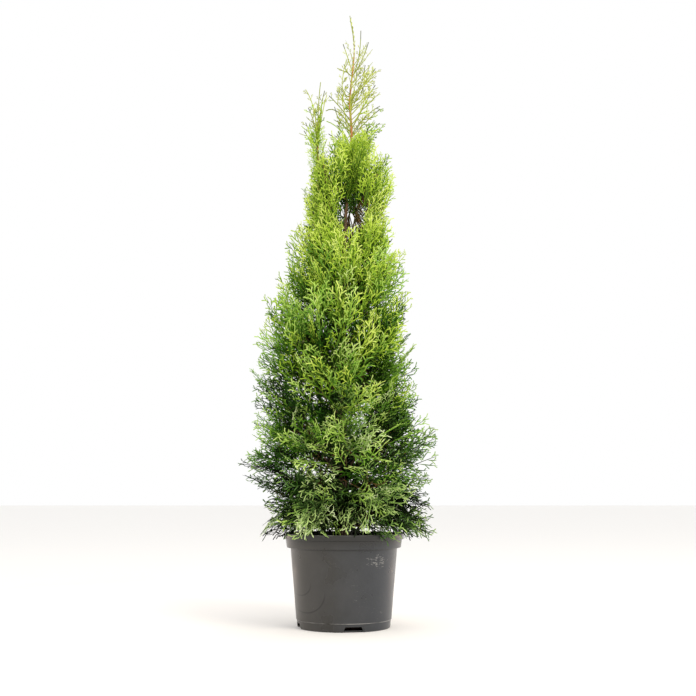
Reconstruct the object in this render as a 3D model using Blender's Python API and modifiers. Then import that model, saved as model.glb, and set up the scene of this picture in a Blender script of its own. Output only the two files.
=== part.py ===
# Potted emerald green arborvitae, a young conifer about 1.24 m tall in a nursery pot.
# Metres, +Z up. The origin is the centre of the pot's flat underside, the front faces -Y.

import math
import random

import bmesh
import bpy
from mathutils import Matrix, Vector
from mathutils.bvhtree import BVHTree

# Gap kept between pieces that touch on the real plant
GAP = 0.0003

# Pot: an injection-moulded nursery container
POT_HEIGHT = 0.178
LIP_RADIUS = 0.115
LIP_HEIGHT = 0.011
LIP_EDGE_WIDTH = 0.0008
LIP_EDGE_HEIGHT = 0.0012
BAND_TOP_RADIUS = 0.1130
BAND_FOOT_RADIUS = 0.1110
BAND_FOOT_Z = 0.151
BODY_TOP_RADIUS = 0.1035
BODY_FOOT_RADIUS = 0.0905
STEP_Z = 0.016
STEP_DEPTH = 0.0012
POT_WALL = 0.0022
POT_FLOOR = 0.003
POT_STEPS = 32

# Drain notches, evenly round the pot's foot
NOTCH_COUNT = 4
NOTCH_TURN = math.radians(-78.2)
NOTCH_TOP_WIDTH = 0.030
NOTCH_FOOT_WIDTH = 0.042
NOTCH_HEIGHT = 0.010
NOTCH_DEPTH = 0.007
CUTTER_OVERRUN = 0.001

# Potting soil, level around the trunk, and room that foliage leaves over it and the rim
SOIL_TOP = 0.148
SOIL_CLEAR = 0.006
RIM_CLEAR = 0.003

# Trunk: the points that it passes through, as height, place to the right and depth
TRUNK_BENDS = [
    (0.1483, 0.000, 0.000),
    (0.200, 0.000, 0.000),
    (0.450, -0.004, 0.004),
    (0.790, 0.002, 0.002),
    (0.980, 0.015, 0.000),
    (1.060, 0.012, -0.002),
    (1.170, 0.021, 0.000),
    (1.243, 0.012, 0.001),
]
TRUNK_SPACING = 0.058
TRUNK_BASE_RADIUS = 0.0085
TRUNK_TIP_RADIUS = 0.0007
FLARE_RADIUS = 0.0065
FLARE_HEIGHT = 0.016
FLARE_STEPS = (0.0, 0.008, 0.018)

# Second stem, which forks off to the left and climbs beside the trunk
STEM_BENDS = [
    (0.590, -0.001, 0.003),
    (0.660, -0.022, -0.010),
    (0.760, -0.041, -0.016),
    (0.860, -0.051, -0.017),
    (0.955, -0.054, -0.016),
]
STEM_SPACING = 0.046
STEM_BASE_RADIUS = 0.0040
STEM_TIP_RADIUS = 0.0018

# Crown outline: height, reach to the left and reach to the right of the trunk
CROWN = [
    (0.150, 0.125, 0.155),
    (0.190, 0.162, 0.183),
    (0.245, 0.160, 0.168),
    (0.290, 0.200, 0.177),
    (0.325, 0.210, 0.187),
    (0.370, 0.193, 0.190),
    (0.415, 0.173, 0.155),
    (0.480, 0.191, 0.157),
    (0.530, 0.178, 0.140),
    (0.590, 0.162, 0.142),
    (0.650, 0.150, 0.129),
    (0.700, 0.129, 0.129),
    (0.750, 0.121, 0.116),
    (0.800, 0.096, 0.091),
    (0.880, 0.090, 0.100),
    (0.935, 0.078, 0.086),
    (1.000, 0.082, 0.074),
    (1.090, 0.082, 0.062),
    (1.243, 0.030, 0.026),
]
# Share by which a mass draws in at its two sides, and how far its tips may stand out
SIDE_DRAW_IN = 0.09
TIP_REACH = (1.00, 1.04)
TIPS_OUT = 0.009

# Each mass keeps between two cones round the trunk, given by their height there and
# their rise outwards, and between two upright planes, given by its middle and half turn.
SKIRT_BOTTOM = (0.150, 0.00)
SKIRT_TOP = (0.262, 0.34)
LOWER_TOP = (0.392, 0.62)
MIDDLE_TOP = (0.535, 0.92)
HIGH_TOP = (0.690, 1.25)
UPPER_TOP = (0.885, 1.60)
LEADER_TOP = (1.045, 2.00)
OPEN_TOP = (1.300, 0.00)
# Room kept to the sides of that space, and round each limb
MARGIN = 0.0009
CLEAR = 0.0010
# Room under the tip of the leader, and the distance out at which a mass is measured
TIP_CLEAR = 0.030
MIDDLE_REACH = 0.10

# Tiers of dense masses with a bough each, evenly round the trunk. Lift is the range of
# angles at which the sprays rise, and droop bends their tips down.
TIERS = [
    dict(name="skirt", count=6, turn=0, bottom=SKIRT_BOTTOM, top=SKIRT_TOP,
         lift=(-14, 30), length=0.098, droop=0.16, sprays=8, bough=0.0034),
    dict(name="lower", count=6, turn=30, bottom=SKIRT_TOP, top=LOWER_TOP,
         lift=(20, 46), length=0.100, droop=0.06, sprays=8, bough=0.0034),
    dict(name="middle", count=5, turn=-90, bottom=LOWER_TOP, top=MIDDLE_TOP,
         lift=(34, 58), length=0.104, droop=-0.03, sprays=6, bough=0.0030),
    dict(name="high", count=4, turn=-115, bottom=MIDDLE_TOP, top=HIGH_TOP,
         lift=(44, 66), length=0.098, droop=-0.06, sprays=6, bough=0.0027),
]
# Boughs leave the trunk at three levels in turn, as shares of the height of their tier
ROOT_LEVEL = 0.14
ROOT_STAGGER = 0.12
ROOT_ABOVE_SOIL = 0.030

# Upper masses, set one by one: the crown is open in front of the trunk there
UPPER = [
    dict(name="upper_right", middle=-22, half=47, root=0.715, carrier="trunk", core=True),
    dict(name="upper_back", middle=70, half=45, root=0.735, carrier="trunk", core=True),
    dict(name="column_back", middle=148, half=33, root=0.765, carrier="second_stem", core=False),
    dict(name="column_front", middle=221, half=38, root=0.790, carrier="second_stem", core=False),
]

# Loose plumes at the top, whose stems spring from the trunk or the second stem itself
PLUMES = [
    dict(name="leader_right", middle=-25, half=89, bottom=UPPER_TOP, top=LEADER_TOP,
         root=0.915, carrier="trunk", near=0.0, far=0.070),
    dict(name="leader_left", middle=155, half=89, bottom=UPPER_TOP, top=LEADER_TOP,
         root=0.935, carrier="trunk", near=0.0, far=0.036, length=0.044, sprays=4),
    dict(name="tip_right", middle=0, half=89, bottom=LEADER_TOP, top=OPEN_TOP,
         root=1.075, carrier="trunk", near=0.0, far=0.058),
    dict(name="tip_left", middle=180, half=89, bottom=LEADER_TOP, top=OPEN_TOP,
         root=1.095, carrier="trunk", near=0.0, far=0.032, length=0.038, sprays=4),
    dict(name="left_plume", middle=195, half=80, bottom=UPPER_TOP, top=(1.094, 0.00),
         root=0.955, carrier="second_stem", near=0.038, far=0.110),
]

# Foliage above this height is this year's and has a paler material
YOUNG_ABOVE = 0.70

# Boughs and stems: where they bend, as shares of the way outwards and upwards
BOUGH_REACH = 0.24
BOUGH_TIP_LEVEL = 0.40
BOUGH_BEND_OUT = 0.60
BOUGH_BEND_UP = 0.34
STEM_BEND = 0.45
CREST_REACH = 0.55
CREST_LEVEL = 0.66
BOUGH_TIP_RADIUS = 0.0016
PLUME_STEM_RADIUS = 0.0014
STEM_END_RADIUS = 0.0011

# Sprays: flat fans with pointed teeth, in shares of their length
SPRAY_THICKNESS = 0.0018
SPRAY_STALK = 0.020
SPRAY_MIDRIB = 0.034
SPRAY_TEETH = 2
SPRAY_SHAPES = 6
FIRST_TOOTH = (0.12, 0.24)
TOOTH_PITCH = 0.30
TOOTH_WIDTH = (0.29, 0.22)
TOOTH_RISE = (0.42, 0.34)
TWIG_RADIUS = 0.0014
TWIG_TIP_RADIUS = 0.0010
TWIG_INTO_SPRAY = 0.13
TWIG_TRIES = 60
FORK_SHARE = 0.55
FORK_ANGLE = math.radians(22)

# Cores of the dense masses, as shares of the crown's reach and of the space of the mass
CORE_NEAR = 0.28
CORE_FAR = 0.70
CORE_FILL = 0.96
CORE_ROUNDNESS = 0.64
CORE_NOISE = 0.05


# Small helpers


def between(low, high, share):
    return low + (high - low) * share


def interpolate(rows, height, column):
    """Reads one column of a list of rows that climb by height."""
    if height <= rows[0][0]:
        return rows[0][column]
    for lower, upper in zip(rows, rows[1:]):
        if height <= upper[0]:
            share = (height - lower[0]) / (upper[0] - lower[0])
            return between(lower[column], upper[column], share)
    return rows[-1][column]


def bend_slope(bends, index, column):
    """Sideways movement per metre of height at one bend of a stem."""
    before = bends[max(index - 1, 0)]
    after = bends[min(index + 1, len(bends) - 1)]
    return (after[column] - before[column]) / (after[0] - before[0])


def stem_at(bends, height):
    """Centre of a stem at a height, on a smooth curve through its bends."""
    height = min(max(height, bends[0][0]), bends[-1][0])
    index = 0
    while index < len(bends) - 2 and height > bends[index + 1][0]:
        index += 1
    rise = bends[index + 1][0] - bends[index][0]
    t = (height - bends[index][0]) / rise
    place = []
    for column in (1, 2):
        start = bends[index][column]
        end = bends[index + 1][column]
        leave = bend_slope(bends, index, column) * rise
        arrive = bend_slope(bends, index + 1, column) * rise
        place.append(
            (2 * t**3 - 3 * t**2 + 1) * start
            + (t**3 - 2 * t**2 + t) * leave
            + (3 * t**2 - 2 * t**3) * end
            + (t**3 - t**2) * arrive
        )
    return Vector((place[0], place[1], height))


def trunk_radius(height):
    base = TRUNK_BENDS[0][0]
    share = (height - base) / (TRUNK_BENDS[-1][0] - base)
    flare = FLARE_RADIUS * math.exp(-(height - base) / FLARE_HEIGHT)
    return between(TRUNK_BASE_RADIUS, TRUNK_TIP_RADIUS, share**0.9) + flare


def second_stem_radius(height):
    share = (height - STEM_BENDS[0][0]) / (STEM_BENDS[-1][0] - STEM_BENDS[0][0])
    return between(STEM_BASE_RADIUS, STEM_TIP_RADIUS, share)


def curved(start, control, end, share):
    """A point on a curve that leaves its start towards the control point."""
    return (
        start * (1 - share) ** 2
        + control * 2 * share * (1 - share)
        + end * share**2
    )


# Scene, materials and basic shapes


def clear_scene():
    for item in list(bpy.data.objects):
        bpy.data.objects.remove(item)


def new_collection(name):
    collection = bpy.data.collections.new(name)
    bpy.context.scene.collection.children.link(collection)
    return collection


def new_material(name, colour, roughness, metallic=0.0):
    material = bpy.data.materials.new(name)
    material.use_nodes = True
    shader = material.node_tree.nodes["Principled BSDF"]
    shader.inputs["Base Color"].default_value = (*colour, 1.0)
    shader.inputs["Roughness"].default_value = roughness
    shader.inputs["Metallic"].default_value = metallic
    material.diffuse_color = (*colour, 1.0)
    return material


def new_object(name, data, collection, material):
    item = bpy.data.objects.new(name, data)
    collection.objects.link(item)
    if material:
        data.materials.append(material)
    return item


def evaluated_mesh(item):
    depsgraph = bpy.context.evaluated_depsgraph_get()
    return bpy.data.meshes.new_from_object(item.evaluated_get(depsgraph))


def made_mesh(item):
    """Turns a curve object into a closed mesh object with its caps welded."""
    mesh = evaluated_mesh(item)
    shape = bmesh.new()
    shape.from_mesh(mesh)
    bmesh.ops.remove_doubles(shape, verts=shape.verts, dist=0.00001)
    shape.to_mesh(mesh)
    shape.free()
    solid = bpy.data.objects.new(item.name, mesh)
    item.users_collection[0].objects.link(solid)
    solid.matrix_world = item.matrix_world
    name = item.name
    bpy.data.objects.remove(item)
    solid.name = name
    return solid


def tube(name, points, radii, roundness, collection, material):
    """A tapering limb: a curve with filled caps through the points."""
    curve = bpy.data.curves.new(name, "CURVE")
    curve.dimensions = "3D"
    curve.fill_mode = "FULL"
    curve.bevel_depth = radii[0]
    curve.bevel_resolution = roundness
    curve.use_fill_caps = True
    spline = curve.splines.new("POLY")
    spline.points.add(len(points) - 1)
    for knot, point, radius in zip(spline.points, points, radii):
        knot.co = (*point, 1.0)
        knot.radius = radius / radii[0]
    return new_object(name, curve, collection, material)


def turned(name, profile, steps, collection, material):
    """A turned shape: the profile goes round the Z axis."""
    mesh = bpy.data.meshes.new(name)
    shape = bmesh.new()
    corners = [shape.verts.new((radius, 0, height)) for radius, height in profile]
    for first, second in zip(corners, corners[1:]):
        shape.edges.new((first, second))
    shape.to_mesh(mesh)
    shape.free()
    item = new_object(name, mesh, collection, material)
    screw = item.modifiers.new("Screw", "SCREW")
    screw.steps = steps
    screw.render_steps = steps
    screw.use_merge_vertices = True
    screw.merge_threshold = 0.0001
    return item


def cut(item, cutter):
    """Takes the cutter's shape out of the item for good."""
    boolean = item.modifiers.new("Cut", "BOOLEAN")
    boolean.operation = "DIFFERENCE"
    boolean.object = cutter
    mesh = evaluated_mesh(item)
    item.modifiers.clear()
    item.data = mesh


def as_guide(item):
    item.hide_render = True
    item.display_type = "WIRE"


# Pot and soil


def wall_taper(height):
    """Outer radius of the pot's body below the rim band."""
    return between(BODY_FOOT_RADIUS, BODY_TOP_RADIUS, height / BAND_FOOT_Z)


def pot_profile():
    lip_foot = POT_HEIGHT - LIP_HEIGHT
    shelf = BAND_FOOT_Z + POT_WALL
    return [
        (0.0, POT_FLOOR),
        (wall_taper(POT_FLOOR) - POT_WALL, POT_FLOOR),
        (BODY_TOP_RADIUS - POT_WALL, shelf),
        (BAND_FOOT_RADIUS - POT_WALL, shelf),
        (BAND_TOP_RADIUS - POT_WALL, POT_HEIGHT),
        (LIP_RADIUS - LIP_EDGE_WIDTH, POT_HEIGHT),
        (LIP_RADIUS, POT_HEIGHT - LIP_EDGE_HEIGHT),
        (LIP_RADIUS, lip_foot),
        (BAND_TOP_RADIUS, lip_foot),
        (BAND_FOOT_RADIUS, BAND_FOOT_Z),
        (BODY_TOP_RADIUS, BAND_FOOT_Z),
        (wall_taper(STEP_Z), STEP_Z),
        (wall_taper(STEP_Z) - STEP_DEPTH, STEP_Z),
        (BODY_FOOT_RADIUS - STEP_DEPTH, 0.0),
        (0.0, 0.0),
    ]


def notch_cutter(index, collection):
    """A wedge wider at the foot, set across the wall."""
    mesh = bpy.data.meshes.new("notch_cutter")
    shape = bmesh.new()
    bmesh.ops.create_cube(shape, size=1.0)
    for corner in shape.verts:
        top = corner.co.z > 0
        width = NOTCH_TOP_WIDTH if top else NOTCH_FOOT_WIDTH
        corner.co.x = BODY_FOOT_RADIUS - NOTCH_DEPTH if corner.co.x < 0 else LIP_RADIUS
        corner.co.y *= width
        corner.co.z = NOTCH_HEIGHT if top else -CUTTER_OVERRUN
    shape.to_mesh(mesh)
    shape.free()
    cutter = new_object(f"notch_cutter_{index}", mesh, collection, None)
    cutter.rotation_euler.z = NOTCH_TURN + index * math.tau / NOTCH_COUNT
    as_guide(cutter)
    return cutter


def build_pot(parts, guides, plastic):
    pot = turned("pot", pot_profile(), POT_STEPS, parts, plastic)
    for index in range(NOTCH_COUNT):
        boolean = pot.modifiers.new("Notch", "BOOLEAN")
        boolean.operation = "DIFFERENCE"
        boolean.object = notch_cutter(index, guides)
    return pot


def build_soil(parts, peat):
    foot = POT_FLOOR + GAP
    profile = [
        (0.0, SOIL_TOP),
        (wall_taper(SOIL_TOP) - POT_WALL - 2 * GAP, SOIL_TOP),
        (wall_taper(NOTCH_HEIGHT) - POT_WALL - 2 * GAP, NOTCH_HEIGHT + GAP),
        (BODY_FOOT_RADIUS - NOTCH_DEPTH - 2 * GAP, NOTCH_HEIGHT + GAP),
        (BODY_FOOT_RADIUS - NOTCH_DEPTH - 2 * GAP, foot),
        (0.0, foot),
    ]
    return turned("soil", profile, POT_STEPS, parts, peat)


# Trunk, second stem and boughs


def heights(bends, spacing):
    low = bends[0][0]
    high = bends[-1][0]
    count = round((high - low) / spacing)
    return [between(low, high, index / count) for index in range(count + 1)]


def trunk_heights():
    """Even steps, with more of them in the root flare."""
    base = TRUNK_BENDS[0][0]
    flare = [base + step for step in FLARE_STEPS]
    return flare + heights(TRUNK_BENDS, TRUNK_SPACING)[1:]


def trunk_tube(name, extra, collection, material):
    steps = trunk_heights()
    points = [stem_at(TRUNK_BENDS, height) for height in steps]
    radii = [trunk_radius(height) + extra for height in steps]
    return tube(name, points, radii, 2, collection, material)


def second_stem_tube(name, extra, collection, material):
    steps = heights(STEM_BENDS, STEM_SPACING)
    points = [stem_at(STEM_BENDS, height) for height in steps]
    radii = [second_stem_radius(height) + extra for height in steps]
    return tube(name, points, radii, 1, collection, material)


def carrier_bends(mass):
    return TRUNK_BENDS if mass["carrier"] == "trunk" else STEM_BENDS


def bough_points(mass):
    """A bough leaves its stem rather flat and turns up towards its tip."""
    start = stem_at(carrier_bends(mass), mass["root"])
    end = mass["bough_tip"]
    control = Vector((
        between(start.x, end.x, BOUGH_BEND_OUT),
        between(start.y, end.y, BOUGH_BEND_OUT),
        between(start.z, end.z, BOUGH_BEND_UP),
    ))
    return [curved(start, control, end, step / 3) for step in range(4)]


def bough_radii(mass, extra=0.0):
    return [between(mass["bough"], mass["bough_end"], step / 3) + extra for step in range(4)]


# The space of a mass


def cone(pair, rho):
    return pair[0] + pair[1] * rho


def around(place):
    """Distance and direction of a place from the trunk at its own height."""
    axis = stem_at(TRUNK_BENDS, place.z)
    return (math.hypot(place.x - axis.x, place.y - axis.y),
            math.atan2(place.y - axis.y, place.x - axis.x))


def from_trunk(rho, turn, height):
    axis = stem_at(TRUNK_BENDS, height)
    return Vector((axis.x + rho * math.cos(turn), axis.y + rho * math.sin(turn), height))


def turned_by(first, second):
    """The angle from one direction to another, between minus and plus half a turn."""
    return (first - second + math.pi) % math.tau - math.pi


def reach(mass, turn, height):
    """Outline of the crown, a little drawn in towards the sides of each mass."""
    left = interpolate(CROWN, height, 1)
    right = interpolate(CROWN, height, 2)
    full = (left + right) / 2 + (right - left) / 2 * math.cos(turn)
    aside = turned_by(turn, mass["turn"]) / mass["spread"]
    return min(full, mass["far"]) * (1 - SIDE_DRAW_IN * min(1.0, aside * aside))


def pot_clear(place):
    """Foliage stays above the soil and rim, and hangs a little outside the rim."""
    rho = math.hypot(place.x, place.y)
    if rho < BODY_TOP_RADIUS - POT_WALL - RIM_CLEAR:
        return place.z > SOIL_TOP + SOIL_CLEAR
    if rho < LIP_RADIUS + RIM_CLEAR:
        return place.z > POT_HEIGHT + RIM_CLEAR
    return True


def in_space(mass, place):
    rho, turn = around(place)
    if rho < mass["near"] or rho > reach(mass, turn, place.z) + TIPS_OUT:
        return False
    aside = abs(turned_by(turn, mass["turn"]))
    if aside > mass["spread"] or rho * math.sin(mass["spread"] - aside) < MARGIN:
        return False
    if place.z < cone(mass["bottom"], rho) + MARGIN:
        return False
    if place.z > cone(mass["top"], rho) - MARGIN:
        return False
    return pot_clear(place)


# Masses: settings worked out for each


def tier_masses():
    masses = []
    for tier in TIERS:
        for index in range(tier["count"]):
            mass = dict(tier)
            mass["name"] = f"{tier['name']}_{index + 1}"
            mass["turn"] = math.radians(tier["turn"] + index * 360 / tier["count"])
            mass["spread"] = math.pi / tier["count"]
            stagger = ROOT_STAGGER * ((index * 2) % 3)
            floor = max(tier["bottom"][0], SOIL_TOP + ROOT_ABOVE_SOIL)
            mass["root"] = between(floor, tier["top"][0], ROOT_LEVEL + stagger)
            mass["near"] = 0.0
            mass["far"] = 1.0
            mass["carrier"] = "trunk"
            mass["core"] = True
            masses.append(mass)
    return masses


def upper_masses():
    masses = []
    for row in UPPER:
        mass = dict(bottom=HIGH_TOP, top=UPPER_TOP, near=0.0, far=1.0, bough=0.0023,
                    lift=(54, 72), length=0.080, droop=-0.05, sprays=6)
        mass.update(row)
        mass["turn"] = math.radians(row["middle"])
        mass["spread"] = math.radians(row["half"])
        masses.append(mass)
    return masses


def plume_masses():
    masses = []
    for row in PLUMES:
        mass = dict(bough=0.0, lift=(54, 74), length=0.052, droop=-0.04, sprays=6, core=False)
        mass.update(row)
        mass["turn"] = math.radians(row["middle"])
        mass["spread"] = math.radians(row["half"])
        masses.append(mass)
    return masses


def set_out(mass):
    """Finds where the bough ends and how the stem of the mass runs on from it."""
    mass["floor"] = POT_HEIGHT + RIM_CLEAR if mass["bottom"] == SKIRT_BOTTOM else 0.0
    mass["ceiling"] = min(cone(mass["top"], mass["far"]), TRUNK_BENDS[-1][0] - TIP_CLEAR)
    out = Vector((math.cos(mass["turn"]), math.sin(mass["turn"]), 0.0))
    if not mass["bough"]:
        mass["bough_end"] = PLUME_STEM_RADIUS
        mass["start"] = stem_at(carrier_bends(mass), mass["root"])
        mass["heading"] = (out * 0.5 + Vector((0, 0, 1))).normalized()
        return mass
    height = (cone(mass["bottom"], MIDDLE_REACH) + cone(mass["top"], MIDDLE_REACH)) / 2
    near, _ = around(stem_at(carrier_bends(mass), mass["root"]))
    rho = between(near, reach(mass, mass["turn"], height), BOUGH_REACH)
    low = max(cone(mass["bottom"], rho), mass["root"])
    high = cone(mass["top"], rho)
    mass["bough_tip"] = from_trunk(rho, mass["turn"], between(low, high, BOUGH_TIP_LEVEL))
    mass["bough_end"] = BOUGH_TIP_RADIUS
    points = bough_points(mass)
    mass["heading"] = (points[-1] - points[-2]).normalized()
    mass["start"] = points[-1] + mass["heading"] * GAP
    return mass


def crest(mass):
    """Where the stem of a mass ends, inside the crown's outline."""
    near, _ = around(mass["start"])
    height = between(mass["start"].z, mass["ceiling"], 0.5)
    rho = between(near, reach(mass, mass["turn"], height), CREST_REACH)
    low = max(cone(mass["bottom"], rho), mass["start"].z)
    high = min(cone(mass["top"], rho), mass["ceiling"])
    return from_trunk(rho, mass["turn"], between(low, high, CREST_LEVEL))


def stem_points(mass):
    end = crest(mass)
    start = mass["start"]
    control = start + mass["heading"] * (end - start).length * STEM_BEND
    return [curved(start, control, end, step / 3) for step in range(4)]


# Sprays


def spray_outline(rng):
    """A pointed fan with teeth on both sides, which leave the middle by turns."""
    edges = []
    for side, first in zip((1, -1), FIRST_TOOTH):
        edge = [(side * SPRAY_STALK, 0.0)]
        for index in range(SPRAY_TEETH):
            foot = first + index * TOOTH_PITCH
            wide = between(*TOOTH_WIDTH, index) * rng.uniform(0.85, 1.1)
            edge.append((side * SPRAY_MIDRIB, foot))
            edge.append((side * wide, foot + between(*TOOTH_RISE, index)))
        edges.append(edge)
    return edges[0] + [(0.0, 1.0)] + edges[1][::-1]


def spray_shape(index):
    """One fan of unit length and thickness, along Y."""
    rng = random.Random(f"fan {index}")
    curve = bpy.data.curves.new("fan", "CURVE")
    curve.dimensions = "2D"
    curve.fill_mode = "BOTH"
    curve.extrude = 0.5
    spline = curve.splines.new("POLY")
    outline = spray_outline(rng)
    spline.points.add(len(outline) - 1)
    for knot, (across, along) in zip(spline.points, outline):
        knot.co = (across, along, 0.0, 1.0)
    spline.use_cyclic_u = True
    item = bpy.data.objects.new("fan", curve)
    bpy.context.scene.collection.objects.link(item)
    mesh = evaluated_mesh(item)
    bpy.data.objects.remove(item)
    shape = bmesh.new()
    shape.from_mesh(mesh)
    bmesh.ops.remove_doubles(shape, verts=shape.verts, dist=0.0001)
    bmesh.ops.recalc_face_normals(shape, faces=shape.faces)
    bmesh.ops.triangulate(shape, faces=shape.faces)
    shape.to_mesh(mesh)
    shape.free()
    return mesh


def spray_frame(heading, roll):
    """Directions across the fan and out of its face, turned round its length by the roll."""
    level = Vector((0, 0, 1)).cross(heading).normalized()
    upper = heading.cross(level)
    across = level * math.cos(roll) + upper * math.sin(roll)
    return across, across.cross(heading)


def placed_spray(shape, root, heading, roll, length, droop):
    """Corners of a fan that grows from its root, its tip bent down by the droop."""
    across, face = spray_frame(heading, roll)
    corners = []
    for vertex in shape.vertices:
        wide, along, thick = vertex.co
        corners.append(
            root
            + across * wide * length
            + heading * along * length
            + face * thick * SPRAY_THICKNESS
            - Vector((0, 0, droop * length * along * along))
        )
    return corners


def twig_mesh(start, end):
    """A three-sided twig from one point to another."""
    mesh = bpy.data.meshes.new("twig")
    shape = bmesh.new()
    length = (end - start).length
    bmesh.ops.create_cone(shape, cap_ends=True, segments=3, radius1=TWIG_RADIUS,
                          radius2=TWIG_TIP_RADIUS, depth=length)
    turn = (end - start).to_track_quat("Z", "Y").to_matrix().to_4x4()
    bmesh.ops.transform(shape, verts=shape.verts,
                        matrix=Matrix.Translation((start + end) / 2) @ turn)
    shape.to_mesh(mesh)
    shape.free()
    return mesh


def mesh_surface(mesh):
    corners = [vertex.co for vertex in mesh.vertices]
    return BVHTree.FromPolygons(corners, [tuple(face.vertices) for face in mesh.polygons])


# Growth of a mass


class Growth:
    """Grows the twigs and sprays of one mass from its stem, clear of every limb."""

    def __init__(self, mass, shapes, limbs):
        self.mass = mass
        self.shapes = shapes
        self.limbs = limbs
        self.rng = random.Random(f"arborvitae {mass['name']}")
        self.stem = stem_points(mass)
        self.meshes = []
        self.taken = []

    def on_stem(self, share):
        position = share * (len(self.stem) - 1)
        index = min(int(position), len(self.stem) - 2)
        return self.stem[index].lerp(self.stem[index + 1], position - index)

    def goal(self, aside, rise):
        """A point near the crown's outline, by its place across and up the mass."""
        mass = self.mass
        turn = mass["turn"] + aside * mass["spread"]
        rho = reach(mass, turn, crest(mass).z)
        for _ in range(3):
            low = max(cone(mass["bottom"], rho), mass["floor"])
            high = min(cone(mass["top"], rho), mass["ceiling"])
            height = between(low, high, rise)
            rho = reach(mass, turn, height)
        rho *= self.rng.uniform(*TIP_REACH)
        return from_trunk(rho, turn, height), turn

    def clear(self, mesh):
        """The surface of a piece that keeps to its space and touches nothing, or None."""
        corners = [vertex.co for vertex in mesh.vertices]
        for edge in mesh.edges:
            first = corners[edge.vertices[0]]
            second = corners[edge.vertices[1]]
            if not in_space(self.mass, first) or not in_space(self.mass, (first + second) / 2):
                return None
        surface = mesh_surface(mesh)
        if self.limbs.overlap(surface) or any(taken.overlap(surface) for taken in self.taken):
            return None
        return surface

    def spray(self, root, heading, length):
        """A fan at a free angle, with its surface, or None where it doesn't fit."""
        base = self.rng.choice(self.shapes)
        roll = self.rng.choice((-1, 1)) * math.radians(self.rng.uniform(15, 80))
        corners = placed_spray(base, root, heading, roll, length, self.mass["droop"])
        mesh = base.copy()
        for vertex, corner in zip(mesh.vertices, corners):
            vertex.co = corner
        surface = self.clear(mesh)
        return (mesh, surface) if surface else None

    def pair(self, share, side, freedom):
        """One twig with a fan at its end and another halfway, on the other side."""
        mass = self.mass
        rng = self.rng
        aside = side * rng.uniform(0.10, 0.70 + 0.2 * freedom)
        rise = between(0.05, 0.95, share) + rng.uniform(-0.15, 0.15) * (1 + 3 * freedom)
        rise = min(1.0, max(0.0, rise))
        tip, turn = self.goal(aside, rise)
        lift = math.radians(between(*mass["lift"], rise) + rng.uniform(-7, 7))
        out = turn + aside * 0.25
        heading = Vector((math.cos(out) * math.cos(lift), math.sin(out) * math.cos(lift),
                          math.sin(lift)))
        length = mass["length"] * rng.uniform(0.90, 1.08) * (1 - 0.25 * freedom)
        root = tip - heading * length
        start = self.on_stem(between(0.10, 0.97, share * rng.uniform(0.8, 1.0)))
        if (root - start).length < 0.008 or not in_space(mass, root):
            return False
        first = self.spray(root, heading, length)
        if not first:
            return False
        end = root + heading * length * TWIG_INTO_SPRAY
        twig = twig_mesh(start, end)
        bare = mesh_surface(twig)
        if self.limbs.overlap(bare) or any(taken.overlap(bare) for taken in self.taken):
            return False
        fork = start.lerp(end, FORK_SHARE)
        for _ in range(TWIG_TRIES):
            other, _ = self.goal(aside - side * rng.uniform(0.25, 0.9),
                                 min(1.0, max(0.0, rise + rng.uniform(-0.5, 0.2))))
            branch = other - fork
            size = min(branch.length, length * rng.uniform(0.85, 1.0))
            branch.normalize()
            if branch.angle(heading) < FORK_ANGLE:
                continue
            second = self.spray(fork - branch * TWIG_RADIUS, branch, size)
            if second and not second[1].overlap(first[1]):
                self.meshes += [first[0], twig, second[0]]
                self.taken += [first[1], bare, second[1]]
                return True
        return False

    def grow(self):
        pairs = self.mass["sprays"] // 2
        side = self.rng.choice((-1, 1))
        missing = 0
        for index in range(pairs):
            for attempt in range(TWIG_TRIES):
                if self.pair((index + 0.5) / pairs, side, attempt / TWIG_TRIES):
                    break
            else:
                missing += 1
            side = -side
        if missing:
            print(self.mass["name"], "twigs left out:", missing)
        return self.meshes


def drop_scraps(mesh):
    """Keeps only the largest of the bodies that a mesh holds."""
    shape = bmesh.new()
    shape.from_mesh(mesh)
    waiting = set(shape.verts)
    bodies = []
    while waiting:
        body = {waiting.pop()}
        edge = list(body)
        while edge:
            corner = edge.pop()
            for link in corner.link_edges:
                other = link.other_vert(corner)
                if other not in body:
                    body.add(other)
                    edge.append(other)
        waiting -= body
        bodies.append(body)
    bodies.sort(key=len)
    for body in bodies[:-1]:
        print("scrap dropped:", len(body), "corners")
        bmesh.ops.delete(shape, geom=list(body), context="VERTS")
    shape.to_mesh(mesh)
    shape.free()


def joined(body, meshes):
    """Fuses the pieces onto the body and removes them."""
    pieces = new_collection("pieces")
    for mesh in meshes:
        pieces.objects.link(bpy.data.objects.new("piece", mesh))
    boolean = body.modifiers.new("Join", "BOOLEAN")
    boolean.operation = "UNION"
    boolean.operand_type = "COLLECTION"
    boolean.collection = pieces
    mesh = evaluated_mesh(body)
    body.modifiers.clear()
    body.data = mesh
    drop_scraps(mesh)
    for item in list(pieces.objects):
        bpy.data.objects.remove(item)
    bpy.data.collections.remove(pieces)
    return body


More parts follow.
